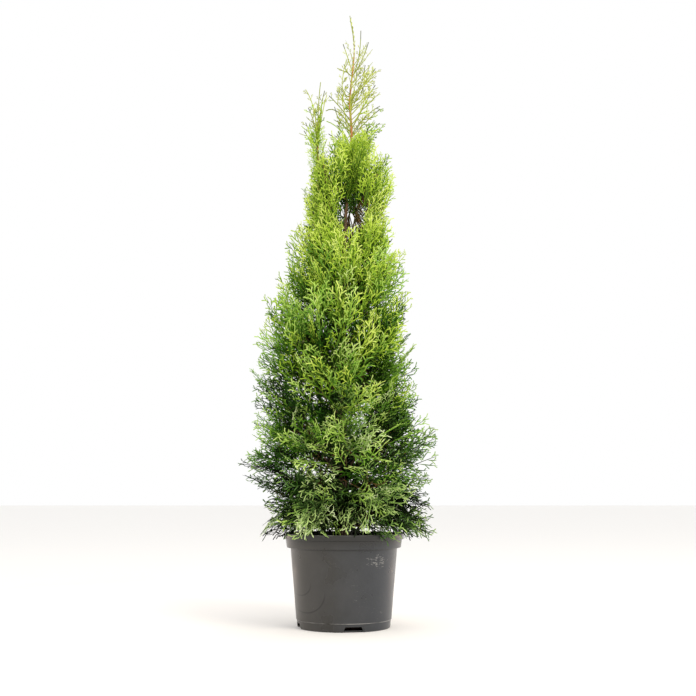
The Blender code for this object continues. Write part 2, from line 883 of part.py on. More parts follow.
def core_mesh(mass):
    """A rounded, uneven body that fills the inside of the space of a mass."""
    rng = random.Random(f"core {mass['name']}")
    mesh = bpy.data.meshes.new("core")
    shape = bmesh.new()
    bmesh.ops.create_uvsphere(shape, u_segments=8, v_segments=4, radius=1.0)
    for corner in shape.verts:
        scale = 1 - rng.uniform(0, 2 * CORE_NOISE)
        aside, rise, out = (math.copysign(abs(part) ** CORE_ROUNDNESS, part) * scale
                            for part in corner.co)
        turn = mass["turn"] + aside * mass["spread"] * CORE_FILL
        share = between(CORE_NEAR, CORE_FAR, (out + 1) / 2)
        rho = share * reach(mass, turn, crest(mass).z)
        for _ in range(3):
            low = max(cone(mass["bottom"], rho), mass["floor"])
            height = between(low, cone(mass["top"], rho), (1 + rise * CORE_FILL) / 2)
            rho = share * reach(mass, turn, height)
        corner.co = from_trunk(rho, turn, height)
    bmesh.ops.recalc_face_normals(shape, faces=shape.faces)
    shape.to_mesh(mesh)
    shape.free()
    return mesh


def build_mass(mass, shapes, limbs, guides, parts, material):
    growth = Growth(mass, shapes, limbs)
    radii = [between(mass["bough_end"], STEM_END_RADIUS, step / 3) for step in range(4)]
    body = made_mesh(tube(mass["name"], growth.stem, radii, 0, parts, material))
    pieces = growth.grow()
    if mass["core"]:
        pieces.append(core_mesh(mass))
    joined(body, pieces)
    if not mass["bough"]:
        cut(body, guides[mass["carrier"]])
    return body


def build_bough(mass, guides, parts, bark):
    name = f"{mass['name']}_bough"
    points = bough_points(mass)
    bough = made_mesh(tube(name, points, bough_radii(mass), 1, parts, bark))
    cut(bough, guides[mass["carrier"]])
    if mass["carrier"] == "second_stem":
        cut(bough, guides["trunk"])
    return bough


def obstacles(pot, masses, collection):
    """One surface of the pot and a shell round every limb, for the growth to avoid."""
    corners = []
    faces = []
    shells = [trunk_tube("trunk_shell", CLEAR, collection, None),
              second_stem_tube("second_stem_shell", CLEAR, collection, None)]
    for mass in masses:
        if mass["bough"]:
            shells.append(tube("bough_shell", bough_points(mass), bough_radii(mass, CLEAR), 1,
                               collection, None))
    for item in shells + [pot]:
        mesh = evaluated_mesh(item)
        first = len(corners)
        corners += [vertex.co.copy() for vertex in mesh.vertices]
        faces += [tuple(first + index for index in face.vertices) for face in mesh.polygons]
    for shell in shells:
        bpy.data.objects.remove(shell)
    return BVHTree.FromPolygons(corners, faces)


def main():
    clear_scene()
    parts = new_collection("potted_arborvitae")
    cutters = new_collection("cutters")
    plastic = new_material("pot plastic", (0.078, 0.074, 0.072), 0.42)
    peat = new_material("peat", (0.045, 0.028, 0.018), 0.95)
    bark = new_material("bark", (0.190, 0.085, 0.040), 0.85)
    leaf = new_material("foliage", (0.175, 0.270, 0.040), 0.60)
    young_leaf = new_material("young foliage", (0.330, 0.440, 0.060), 0.58)

    pot = build_pot(parts, cutters, plastic)
    build_soil(parts, peat)
    trunk_tube("trunk", 0.0, parts, bark)
    guides = {
        "trunk": made_mesh(trunk_tube("trunk_guide", GAP, cutters, None)),
        "second_stem": made_mesh(second_stem_tube("second_stem_guide", GAP, cutters, None)),
    }
    for guide in guides.values():
        as_guide(guide)
    second_stem = made_mesh(second_stem_tube("second_stem", 0.0, parts, bark))
    cut(second_stem, guides["trunk"])

    masses = [set_out(mass) for mass in tier_masses() + upper_masses() + plume_masses()]
    limbs = obstacles(pot, masses, cutters)
    shapes = [spray_shape(index) for index in range(SPRAY_SHAPES)]
    for mass in masses:
        if mass["bough"]:
            build_bough(mass, guides, parts, bark)
        material = young_leaf if mass["start"].z > YOUNG_ABOVE else leaf
        build_mass(mass, shapes, limbs, guides, parts, material)


main()
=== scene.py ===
import math
import random
from functools import partial

import bmesh
import bpy
import numpy as np
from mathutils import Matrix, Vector, noise


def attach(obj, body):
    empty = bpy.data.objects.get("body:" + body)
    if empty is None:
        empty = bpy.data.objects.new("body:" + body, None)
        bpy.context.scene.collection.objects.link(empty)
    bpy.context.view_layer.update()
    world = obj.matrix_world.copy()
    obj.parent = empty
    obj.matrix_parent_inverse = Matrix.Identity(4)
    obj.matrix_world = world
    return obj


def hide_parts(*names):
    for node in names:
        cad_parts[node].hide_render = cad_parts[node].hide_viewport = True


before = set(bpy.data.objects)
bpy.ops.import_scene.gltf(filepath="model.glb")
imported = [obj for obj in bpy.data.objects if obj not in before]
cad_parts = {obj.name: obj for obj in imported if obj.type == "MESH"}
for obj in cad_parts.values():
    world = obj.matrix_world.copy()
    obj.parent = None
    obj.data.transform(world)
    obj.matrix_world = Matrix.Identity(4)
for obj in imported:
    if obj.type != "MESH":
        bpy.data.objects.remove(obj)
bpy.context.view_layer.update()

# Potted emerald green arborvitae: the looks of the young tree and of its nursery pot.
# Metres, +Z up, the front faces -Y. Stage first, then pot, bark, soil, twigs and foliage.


# General helpers

def between(low, high, share):
    return low + (high - low) * share


def linear(hexColour):
    values = []
    for start in (0, 2, 4):
        value = int(hexColour[start:start + 2], 16) / 255
        values.append(value / 12.92 if value <= 0.04045 else ((value + 0.055) / 1.055) ** 2.4)
    return (*values, 1.0)


def deselectAll():
    if bpy.context.object and bpy.context.object.mode != "OBJECT":
        bpy.ops.object.mode_set(mode="OBJECT")
    bpy.ops.object.select_all(action="DESELECT")


def newMaterial(name, **shaderValues):
    material = bpy.data.materials.new(name)
    material.use_nodes = True
    shader = material.node_tree.nodes["Principled BSDF"]
    for socket, value in shaderValues.items():
        shader.inputs[socket.replace("_", " ")].default_value = value
    return material


def addNode(material, kind, inputs=(), stops=(), **settings):
    # Adds a node with its settings, its inputs by name or in order, each a value or another
    # node's output, and the stops of a colour ramp, and returns its outputs
    tree = material.node_tree
    node = tree.nodes.new("ShaderNode" + kind)
    for name, value in settings.items():
        setattr(node, name, value)
    for socket, value in inputs.items() if isinstance(inputs, dict) else enumerate(inputs):
        if isinstance(value, bpy.types.NodeSocket):
            tree.links.new(value, node.inputs[socket])
        else:
            node.inputs[socket].default_value = value
    if stops:
        elements = node.color_ramp.elements
        for position, colour in stops:
            elements.new(position).color = linear(colour)
        elements.remove(elements[0])
        elements.remove(elements[-1])
    return node.outputs


def connect(material, **sources):
    tree = material.node_tree
    for socket, source in sources.items():
        tree.links.new(source, tree.nodes["Principled BSDF"].inputs[socket.replace("_", " ")])


def finishPiece(piece, slot, *nodes):
    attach(piece, "root")
    if nodes:
        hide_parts(*nodes)


# Stage: camera where the photograph was taken, pale floor, soft studio light

stage = dict(
    cameraPlace=(0.008, -2.069, 0.255), cameraTilt=97.9, lens=54.1, sensorWidth=36,
    floorSize=40.0, floorColour="F7F5F2", sky="FFFFFF", skyStrength=1.0, lightAim=(0, 0, 0.6),
    # Lights: name, place, size, power in watts and colour, and height where one isn't round.
    # The narrow strips behind draw a soft line down both edges of the pot.
    lights=[
        ("keyLight", (1.5, -2.0, 2.9), 1.6, 58, "FFF6E8"),
        ("fillLight", (-2.2, -1.6, 1.4), 2.2, 9, "F2F6FF"),
        ("stripLight1", (0.95, 0.74, 0.40), 0.22, 2.4, "FFDDC6", 0.80),
        ("stripLight2", (-0.90, 0.83, 0.40), 0.22, 2.4, "FFDDC6", 0.80),
    ],
)


def areaLight(name, place, size, power, colour, height=None):
    data = bpy.data.lights.new(name, "AREA")
    data.shape = "RECTANGLE" if height else "DISK"
    data.size = size
    if height:
        data.size_y = height
    data.energy = power
    data.color = linear(colour)[:3]
    light = bpy.data.objects.new(name, data)
    bpy.context.collection.objects.link(light)
    light.location = place
    aim = Vector(stage["lightAim"]) - Vector(place)
    light.rotation_euler = aim.to_track_quat("-Z", "Y").to_euler()


def makeStage():
    deselectAll()
    bpy.ops.object.camera_add(location=stage["cameraPlace"],
                              rotation=(math.radians(stage["cameraTilt"]), 0, 0))
    camera = bpy.context.object
    camera.data.lens = stage["lens"]
    camera.data.sensor_width = stage["sensorWidth"]
    bpy.context.scene.camera = camera

    bpy.ops.mesh.primitive_plane_add(size=stage["floorSize"])
    floor = bpy.context.object
    floor.name = "paleFloor"
    # Matt painted board: even and pale
    floor.data.materials.append(
        newMaterial("mattPaint", Base_Color=linear(stage["floorColour"]), Roughness=0.9))

    for light in stage["lights"]:
        areaLight(*light)
    world = bpy.data.worlds.new("studio")
    bpy.context.scene.world = world
    world.use_nodes = True
    background = world.node_tree.nodes["Background"]
    background.inputs["Color"].default_value = linear(stage["sky"])
    background.inputs["Strength"].default_value = stage["skyStrength"]
    bpy.context.scene.view_settings.view_transform = "Standard"


makeStage()
print("stage ready")


# Turned shapes: rings of radius and height, extruded one from the other

def drawnUp(name, sides, rings):
    deselectAll()
    radius, height = rings[0]
    bpy.ops.mesh.primitive_circle_add(vertices=sides, radius=radius, fill_type="NGON",
                                      location=(0, 0, height))
    piece = bpy.context.object
    piece.name = name
    bpy.ops.object.transform_apply(location=True)
    bpy.ops.object.mode_set(mode="EDIT")
    bpy.ops.mesh.select_all(action="SELECT")
    for nextRadius, nextHeight in rings[1:]:
        rise = nextHeight - height
        bpy.ops.mesh.extrude_region_move(TRANSFORM_OT_translate={"value": (0, 0, rise)})
        scale = nextRadius / radius
        bpy.ops.transform.resize(value=(scale, scale, 1), center_override=(0, 0, nextHeight))
        radius, height = nextRadius, nextHeight
    return piece


def closeShape():
    bpy.ops.mesh.select_all(action="SELECT")
    bpy.ops.mesh.normals_make_consistent(inside=False)
    bpy.ops.object.mode_set(mode="OBJECT")


def smoothShape(piece, angle, material):
    deselectAll()
    piece.select_set(True)
    bpy.ops.object.shade_smooth_by_angle(angle=math.radians(angle))
    piece.data.materials.append(material)


# Pot: injection-moulded polypropylene with a banded rim and four drain notches

pot = dict(
    height=0.178, lipRadius=0.115, lipFoot=0.167, bandTopRadius=0.1130, bandFootRadius=0.1110,
    bandFoot=0.151, bodyTopRadius=0.1035, bodyFootRadius=0.0905, stepHeight=0.016,
    stepDepth=0.0012, wall=0.0022, floor=0.003, sides=160, softEdge=0.0012, edgeRounding=0.0005,
    notchCount=4, notchTurn=-78.2, notchTop=0.030, notchFoot=0.042, notchHeight=0.010,
    notchDepth=0.007, notchCut=0.030, seamPlace=-0.0205, seamWidth=0.0007,
    scuffPlace=(0.065, -0.080, 0.129), scuffFlat=2.2, scuffRadius=0.034,
    waterMarks=((-0.083, 0.085, 0.021), (-0.072, 0.070, 0.037)),
)


def potWallRadius(height):
    return between(pot["bodyFootRadius"], pot["bodyTopRadius"], height / pot["bandFoot"])


def potProfile():
    # Up the outside from the flat underside, over the lip and down the inside to the floor
    p = pot
    wall, soft = p["wall"], p["softEdge"]
    foot = p["bodyFootRadius"] - p["stepDepth"]
    stepTop = potWallRadius(p["stepHeight"])
    return [
        (foot - soft, 0.0), (foot, soft),
        (stepTop - p["stepDepth"], p["stepHeight"] - soft), (stepTop, p["stepHeight"]),
        (potWallRadius(0.060), 0.060), (potWallRadius(0.110), 0.110),
        (p["bodyTopRadius"], p["bandFoot"] - 0.0015),
        (p["bodyTopRadius"] + soft, p["bandFoot"]), (p["bandFootRadius"] - 0.0008, p["bandFoot"]),
        (p["bandFootRadius"], p["bandFoot"] + 0.0010),
        (p["bandTopRadius"], p["lipFoot"] - 0.0004), (p["lipRadius"] - 0.0010, p["lipFoot"]),
        (p["lipRadius"] - 0.0002, p["lipFoot"] + soft), (p["lipRadius"], p["height"] - soft),
        (p["lipRadius"] - 0.0009, p["height"]), (p["bandTopRadius"] - wall + 0.0006, p["height"]),
        (p["bandTopRadius"] - wall, p["height"] - 0.0008),
        (p["bandFootRadius"] - wall, p["bandFoot"] + wall),
        (p["bodyTopRadius"] - wall, p["bandFoot"] + wall),
        (potWallRadius(0.080) - wall, 0.080),
        (potWallRadius(p["floor"]) - wall, p["floor"]),
    ]


def makePot():
    shell = drawnUp("nurseryPot", pot["sides"], potProfile())
    closeShape()
    for index in range(pot["notchCount"]):
        cutNotch(shell, math.radians(pot["notchTurn"]) + index * math.tau / pot["notchCount"])
    rounding = shell.modifiers.new("rounding", "BEVEL")
    rounding.width = pot["edgeRounding"]
    rounding.segments = 2
    rounding.limit_method = "ANGLE"
    rounding.angle_limit = math.radians(50)
    bpy.context.view_layer.objects.active = shell
    bpy.ops.object.modifier_apply(modifier="rounding")
    smoothShape(shell, 35, polypropylene())
    return shell


def cutNotch(shell, turn):
    deselectAll()
    cut = pot["notchCut"]
    middle = pot["bodyFootRadius"] - pot["notchDepth"] + cut / 2
    bpy.ops.mesh.primitive_cube_add(
        size=1, location=(middle * math.cos(turn), middle * math.sin(turn),
                          pot["notchHeight"] / 2 - 0.001),
        rotation=(0, 0, turn), scale=(cut, pot["notchFoot"], pot["notchHeight"] + 0.002))
    cutter = bpy.context.object
    shape = bmesh.new()
    shape.from_mesh(cutter.data)
    for corner in shape.verts:
        if corner.co.z > 0:
            corner.co.y *= pot["notchTop"] / pot["notchFoot"]
    shape.to_mesh(cutter.data)
    shape.free()
    notch = shell.modifiers.new("notch", "BOOLEAN")
    notch.operation = "DIFFERENCE"
    notch.object = cutter
    bpy.context.view_layer.objects.active = shell
    bpy.ops.object.modifier_apply(modifier="notch")
    bpy.data.objects.remove(cutter)


def polypropylene():
    # Moulded recycled polypropylene: dark grey, half gloss, with a faint mould line and scuffs
    material = newMaterial("mouldedPolypropylene", IOR=1.49, Roughness=0.36)
    add = partial(addNode, material)
    place = add("TexCoord")["Object"]
    right, depth, up = add("SeparateXYZ", (place,))

    def lineAt(source, middle, half, share=1.0):
        # The share along a line where the source has its middle value, nought beside it
        away = add("Math", (source, middle), operation="SUBTRACT")["Value"]
        away = add("Math", (away,), operation="ABSOLUTE")["Value"]
        return add("MapRange", (away, 0.0, half, share, 0.0))["Result"]

    # Cloudy tint of mixed regrind, some 40 mm across: brown, grey and a cold blue-grey
    cloud = add("TexNoise", {"Vector": place, "Scale": 22.0, "Detail": 3.0})["Fac"]
    colour = add("ValToRGB", (cloud,), [(0.30, "2C2B29"), (0.50, "343434"),
                                        (0.72, "3B3A3A")])["Color"]
    # Tints over it, each with where it shows. A cold blue-grey painted reflection on the right of
    # the front, an olive painted reflection on the left, and painted shade that makes the rim
    # darker than the wall
    layers = [
        (add("MapRange", (source, near, far, share, 0.0))["Result"], tint)
        for source, near, far, share, tint in (
            (right, 0.085, -0.02, 0.65, "343941"), (right, -0.085, 0.0, 0.50, "383125"),
            (up, 0.166, 0.150, 0.80, "1B1915"))]
    # Painted shadow: dark lines in the corners under lip and band
    layers += [(lineAt(up, pot["lipFoot"] - 0.0004, 0.0012, 0.75), "0B0A08"),
               (lineAt(up, pot["bandFoot"] - 0.0010, 0.0026, 0.75), "0B0A08")]

    # Scuffs: pale wavy streaks round the wall, a few millimetres long, most of them in a
    # rubbed patch at the upper right
    flattened = add("Mapping", {"Vector": place, "Scale": (1.0, 1.0, pot["scuffFlat"])})["Vector"]
    scuffRight, scuffDepth, scuffHeight = pot["scuffPlace"]
    middle = (scuffRight, scuffDepth, scuffHeight * pot["scuffFlat"])
    rubbed = add("VectorMath", (flattened, middle), operation="DISTANCE")["Value"]
    stretched = add("Mapping", {"Vector": place, "Scale": (1.0, 1.0, 3.2)})["Vector"]
    masks = []
    for pattern, near, share, low, high in (
            ({"Vector": stretched, "Scale": 120.0, "Detail": 5.0, "Roughness": 0.65},
             0.010, 0.11, 0.61, 0.70),
            ({"Vector": place, "Scale": 15.0, "Detail": 1.0}, 0.014, 1.0, 0.60, 0.72)):
        grain = add("TexNoise", pattern)["Fac"]
        more = add("MapRange", (rubbed, near, pot["scuffRadius"], share, 0.0))["Result"]
        total = add("Math", (grain, more), operation="ADD")["Value"]
        masks.append(add("ValToRGB", (total,), [(low, "000000"), (high, "FFFFFF")])["Color"])
    scuff = add("Math", masks, operation="MULTIPLY")["Value"]
    layers.append((add("Math", (scuff, 0.60), operation="MULTIPLY")["Value"], "A09E9A"))

    # Painted highlight: a pale line along the lip and above all along the step, broken up here
    # and there
    highlightNoise = add("TexNoise", {"Vector": place, "Scale": 30.0, "Detail": 3.0})["Fac"]
    highlightPatches = add("MapRange", (highlightNoise, 0.62, 0.40, 1.0, 0.0))["Result"]
    edges = add("Math", (lineAt(up, pot["stepHeight"] - 0.0003, 0.0009),
                         lineAt(up, pot["height"] - 0.0008, 0.0012, 0.35)),
                operation="MAXIMUM")["Value"]
    layers.append((add("Math", (edges, highlightPatches), operation="MULTIPLY")["Value"], "B4B2AE"))

    # Old water marks: thin dark arcs, open upwards, low on the left of the front
    faceOn = add("Mapping", {"Vector": place, "Scale": (1.0, 0.0, 1.0)})["Vector"]
    front = add("MapRange", (depth, -0.030, 0.0, 0.85, 0.0))["Result"]
    for markRight, markHeight, radius in pot["waterMarks"]:
        away = add("VectorMath", (faceOn, (markRight, 0.0, markHeight)),
                   operation="DISTANCE")["Value"]
        below = add("MapRange", (up, markHeight - 0.012, markHeight + 0.006, 1.0, 0.0))["Result"]
        arc = add("Math", (lineAt(away, radius, 0.0019), below), operation="MULTIPLY")["Value"]
        layers.append((add("Math", (arc, front), operation="MULTIPLY")["Value"], "14120E"))

    for share, tint in layers:
        colour = add("Mix", {"Factor": share, "A": colour, "B": linear(tint)},
                     data_type="RGBA")["Result"]
    gloss = add("MapRange", (cloud, 0.3, 0.7, 0.24, 0.38))["Result"]
    roughness = add("Math", (scuff, 0.3, gloss), operation="MULTIPLY_ADD")["Value"]

    # Slow waves where the thin wall has shrunk in cooling, fine spark-eroded grain of under
    # half a millimetre, then the mould line: an upright ridge on the front and on the back
    waves = add("TexNoise", {"Vector": place, "Scale": 9.0, "Detail": 1.0})["Fac"]
    sparks = add("TexNoise", {"Vector": place, "Scale": 900.0, "Detail": 2.0})["Fac"]
    ridge = lineAt(right, pot["seamPlace"], pot["seamWidth"])
    normal = {}
    for height, strength, distance in ((waves, 0.5, 0.004), (sparks, 0.25, 0.0002),
                                       (ridge, 0.6, 0.0003)):
        relief = {"Height": height, "Strength": strength, "Distance": distance}
        normal = {"Normal": add("Bump", relief | normal)["Normal"]}
    connect(material, Base_Color=colour, Roughness=roughness, **normal)
    return material


finishPiece(makePot(), "pot_plastic", "pot")
print("pot ready")


# Joined meshes from arrays: triangles, with one material number for each

class Joined:
    def __init__(self):
        self.corners = []
        self.faces = []
        self.kinds = []
        self.count = 0

    def add(self, corners, faces, kinds):
        self.corners.append(corners)
        self.faces.append(faces + self.count)
        self.kinds.append(np.full(len(faces), kinds) if np.isscalar(kinds) else kinds)
        self.count += len(corners)

    def piece(self, name, materials, smooth):
        corners = np.concatenate(self.corners).astype(np.float32)
        faces = np.concatenate(self.faces).astype(np.int32)
        kinds = np.concatenate(self.kinds).astype(np.int32)
        mesh = bpy.data.meshes.new(name)
        mesh.vertices.add(len(corners))
        mesh.vertices.foreach_set("co", corners.ravel())
        mesh.loops.add(faces.size)
        mesh.loops.foreach_set("vertex_index", faces.ravel())
        mesh.polygons.add(len(faces))
        mesh.polygons.foreach_set("loop_start", np.arange(0, faces.size, 3, dtype=np.int32))
        mesh.polygons.foreach_set("material_index", kinds)
        mesh.polygons.foreach_set("use_smooth", np.full(len(faces), smooth))
        mesh.update(calc_edges=True)
        mesh.validate()
        for material in materials:
            mesh.materials.append(material)
        item = bpy.data.objects.new(name, mesh)
        bpy.context.collection.objects.link(item)
        print(name, len(faces), "triangles")
        return item


def tubeArrays(points, radii, sides, relief=None):
    # A closed tapering tube through the points, its ends drawn to a point
    points = np.array(points, dtype=float)
    ways = np.gradient(points, axis=0)
    ways /= np.linalg.norm(ways, axis=1)[:, None]
    first = np.cross(ways, (0.0, 1.0, 0.0))
    first /= np.linalg.norm(first, axis=1)[:, None]
    second = np.cross(ways, first)
    angles = np.arange(sides) * math.tau / sides
    ring = (np.cos(angles)[None, :, None] * first[:, None, :]
            + np.sin(angles)[None, :, None] * second[:, None, :])
    radii = np.array(radii, dtype=float)[:, None] * np.ones((1, sides))
    if relief is not None:
        radii = radii + relief
    body = points[:, None, :] + ring * radii[:, :, None]
    corners = np.concatenate([body.reshape(-1, 3), points[:1], points[-1:]])
    rows = len(points)
    row, side = np.meshgrid(np.arange(rows - 1), np.arange(sides), indexing="ij")
    here = row * sides + side
    beside = row * sides + (side + 1) % sides
    walls = np.concatenate([
        np.stack([here, here + sides, beside], axis=-1).reshape(-1, 3),
        np.stack([beside, here + sides, beside + sides], axis=-1).reshape(-1, 3)])
    around = np.arange(sides)
    turned = (around + 1) % sides
    low = np.stack([np.full(sides, rows * sides), around, turned], axis=-1)
    last = (rows - 1) * sides
    high = np.stack([np.full(sides, rows * sides + 1), last + turned, last + around], axis=-1)
    return corners, np.concatenate([walls, low, high])


# Limbs, from the same heights, places and radii as the solid part

limbs = dict(
    trunkBends=[(0.1483, 0.000, 0.000), (0.200, 0.000, 0.000), (0.450, -0.004, 0.004),
                (0.790, 0.002, 0.002), (0.980, 0.015, 0.000), (1.060, 0.012, -0.002),
                (1.170, 0.021, 0.000), (1.243, 0.012, 0.001)],
    stemBends=[(0.590, -0.001, 0.003), (0.660, -0.022, -0.010), (0.760, -0.041, -0.016),
               (0.860, -0.051, -0.017), (0.955, -0.054, -0.016)],
    trunkBase=0.0085, trunkTip=0.0007, flare=0.0065, flareHeight=0.016,
    stemBase=0.0040, stemTip=0.0018, ringSpacing=0.0030, trunkSides=18, stemSides=12,
    boughSides=9, boughRings=24,
    # Relief of the bark, as shares of the radius, and how close together round and up
    ridgeHeight=0.10, ridgeScale=(2.6, 28), ridgeMiddle=0.6, flakeHeight=0.06,
    flakeScale=(1.5, 90),
    # Bark colours over the fibres: at the foot, then from and up to some height
    barkFoot=[(0.32, "3A2B20"), (0.52, "755B45"), (0.70, "A48A70")],
    barkAbove=[(0.80, 1.04, [(0.32, "9A5C30"), (0.52, "C07C42"), (0.70, "D9A066")]),
               (1.13, 1.19, [(0.35, "7E8A3A"), (0.65, "A3A856")])],
)


def bendSlope(bends, index, column):
    before = bends[max(index - 1, 0)]
    after = bends[min(index + 1, len(bends) - 1)]
    return (after[column] - before[column]) / (after[0] - before[0])


def stemAt(bends, height):
    height = min(max(height, bends[0][0]), bends[-1][0])
    index = 0
    while index < len(bends) - 2 and height > bends[index + 1][0]:
        index += 1
    rise = bends[index + 1][0] - bends[index][0]
    t = (height - bends[index][0]) / rise
    place = []
    for column in (1, 2):
        leave = bendSlope(bends, index, column) * rise
        arrive = bendSlope(bends, index + 1, column) * rise
        place.append((2 * t**3 - 3 * t**2 + 1) * bends[index][column]
                     + (t**3 - 2 * t**2 + t) * leave
                     + (3 * t**2 - 2 * t**3) * bends[index + 1][column]
                     + (t**3 - t**2) * arrive)
    return Vector((place[0], place[1], height))


def trunkRadius(height):
    base = limbs["trunkBends"][0][0]
    share = (height - base) / (limbs["trunkBends"][-1][0] - base)
    flare = limbs["flare"] * math.exp(-(height - base) / limbs["flareHeight"])
    return between(limbs["trunkBase"], limbs["trunkTip"], share**0.9) + flare


def stemRadius(height):
    low, high = limbs["stemBends"][0][0], limbs["stemBends"][-1][0]
    return between(limbs["stemBase"], limbs["stemTip"], (height - low) / (high - low))


def barkRelief(points, radii, sides, seed):
    # Long shallow ridges that wander up the stem, with flakes that lift between them
    relief = np.zeros((len(points), sides))
    ridgeRound, ridgeUp = limbs["ridgeScale"]
    flakeRound, flakeUp = limbs["flakeScale"]
    for row, (point, radius) in enumerate(zip(points, radii)):
        for side in range(sides):
            angle = side * math.tau / sides
            x, y = math.cos(angle), math.sin(angle)
            ridge = noise.noise(Vector((x * ridgeRound, y * ridgeRound,
                                        point[2] * ridgeUp + seed)))
            flake = noise.noise(Vector((x * flakeRound, y * flakeRound,
                                        point[2] * flakeUp - seed)))
            relief[row, side] = radius * (
                limbs["ridgeHeight"] * (1 - 2 * abs(ridge) - limbs["ridgeMiddle"])
                + limbs["flakeHeight"] * flake)
    relief[0] = 0
    return relief


def barkTube(joined, points, radii, sides, seed):
    relief = barkRelief(points, radii, sides, seed)
    joined.add(*tubeArrays(points, radii, sides, relief), 0)


def upright(bends, radiusAt):
    low, high = bends[0][0], bends[-1][0]
    count = round((high - low) / limbs["ringSpacing"])
    heights = [between(low, high, index / count) for index in range(count + 1)]
    return [stemAt(bends, height) for height in heights], [radiusAt(height) for height in heights]


# Crown: the source's rule. Each mass grows between two cones round the trunk and two
# upright planes, out to the crown's outline. The rows are height, reach to the left and
# reach to the right. A bough ends at a share of the reach and of the height between the
# cones, and so does the stem of a mass; a bend is where its curve pulls to.

crown = dict(
    rows=[(0.150, 0.125, 0.155), (0.190, 0.162, 0.183), (0.245, 0.152, 0.170),
          (0.290, 0.200, 0.178), (0.325, 0.210, 0.189), (0.370, 0.193, 0.193),
          (0.415, 0.173, 0.166), (0.480, 0.191, 0.157), (0.530, 0.178, 0.140),
          (0.590, 0.162, 0.142), (0.650, 0.150, 0.129), (0.700, 0.129, 0.129),
          (0.750, 0.121, 0.116), (0.800, 0.096, 0.091), (0.880, 0.090, 0.100),
          (0.935, 0.078, 0.078), (1.000, 0.082, 0.074), (1.090, 0.082, 0.062),
          (1.243, 0.030, 0.026)],
    sideDraw=0.09, soilTop=0.148, boughReach=0.24, boughRise=0.40, boughBend=(0.60, 0.34),
    stemReach=0.55, stemRise=0.66, stemBend=0.45, stemRadius=0.0016, plumeRadius=0.0014,
    # Room to the pot and to the soil, and how far the masses stay under the trunk's tip
    potGap=0.003, soilGap=0.008, skirtGap=0.004, underTip=0.030,
    # The boughs of a tier spring in turn from three heights, as shares of its room
    rootLift=0.030, rootShares=(0.14, 0.38, 0.26),
)

cones = dict(
    skirtBottom=(0.150, 0.00), skirtTop=(0.262, 0.34), lowerTop=(0.392, 0.62),
    middleTop=(0.535, 0.92), highTop=(0.690, 1.25), upperTop=(0.885, 1.60),
    leaderTop=(1.045, 2.00), plumeTop=(1.094, 0.00), openTop=(1.300, 0.00),
)

tiers = [
    dict(name="skirt", count=6, turn=0, bottom="skirtBottom", top="skirtTop",
         lift=(-4, 34), length=0.098, droop=0.12, bough=0.0034),
    dict(name="lower", count=6, turn=30, bottom="skirtTop", top="lowerTop",
         lift=(20, 46), length=0.100, droop=0.06, bough=0.0034),
    dict(name="middle", count=5, turn=-90, bottom="lowerTop", top="middleTop",
         lift=(34, 58), length=0.104, droop=-0.03, bough=0.0030),
    dict(name="high", count=4, turn=-115, bottom="middleTop", top="highTop",
         lift=(44, 66), length=0.098, droop=-0.06, bough=0.0027),
]

upper = dict(bottom="highTop", top="upperTop", bough=0.0023, lift=(54, 72), length=0.080,
             droop=-0.05, ceiling=0.946)

upperRows = [
    dict(name="upper_right", turn=-22, half=47, root=0.715, carrier="trunkBends"),
    dict(name="upper_back", turn=70, half=45, root=0.735, carrier="trunkBends"),
    dict(name="column_back", turn=148, half=33, root=0.765, carrier="stemBends"),
    dict(name="column_front", turn=221, half=38, root=0.790, carrier="stemBends"),
]

plume = dict(bough=0.0, lift=(54, 74), length=0.052, droop=-0.04)

plumeRows = [
    dict(name="leader_right", turn=-25, half=89, bottom="upperTop", top="leaderTop",
         root=0.915, carrier="trunkBends", near=0.0, far=0.070),
    dict(name="leader_left", turn=155, half=89, bottom="upperTop", top="leaderTop",
         root=0.935, carrier="trunkBends", near=0.0, far=0.036, length=0.044),
    dict(name="tip_right", turn=0, half=89, bottom="leaderTop", top="openTop",
         root=1.075, carrier="trunkBends", near=0.0, far=0.058),
    dict(name="tip_left", turn=180, half=89, bottom="leaderTop", top="openTop",
         root=1.095, carrier="trunkBends", near=0.0, far=0.032, length=0.038),
    dict(name="left_plume", turn=195, half=80, bottom="upperTop", top="plumeTop",
         root=0.955, carrier="stemBends", near=0.038, far=0.110),
]


def coneAt(name, rho):
    return cones[name][0] + cones[name][1] * rho


def around(place):
    axis = stemAt(limbs["trunkBends"], place[2])
    return (math.hypot(place[0] - axis.x, place[1] - axis.y),
            math.atan2(place[1] - axis.y, place[0] - axis.x))


def fromTrunk(rho, turn, height):
    axis = stemAt(limbs["trunkBends"], height)
    return Vector((axis.x + rho * math.cos(turn), axis.y + rho * math.sin(turn), height))


def turnedBy(first, second):
    return (first - second + math.pi) % math.tau - math.pi


def crownReach(mass, turn, height):
    heights = [row[0] for row in crown["rows"]]
    left = float(np.interp(height, heights, [row[1] for row in crown["rows"]]))
    right = float(np.interp(height, heights, [row[2] for row in crown["rows"]]))
    full = (left + right) / 2 + (right - left) / 2 * math.cos(turn)
    aside = turnedBy(turn, mass["turn"]) / mass["spread"]
    return min(full, mass["far"]) * (1 - crown["sideDraw"] * min(1.0, aside * aside))


def potClear(place):
    rho = math.hypot(place[0], place[1])
    if rho < pot["bodyTopRadius"] - pot["wall"] - crown["potGap"]:
        return place[2] > crown["soilTop"] + crown["soilGap"]
    if rho < pot["lipRadius"] + crown["potGap"]:
        return place[2] > pot["height"] + crown["potGap"]
    return True


def curved(start, control, end, share):
    return start * (1 - share) ** 2 + control * 2 * share * (1 - share) + end * share**2


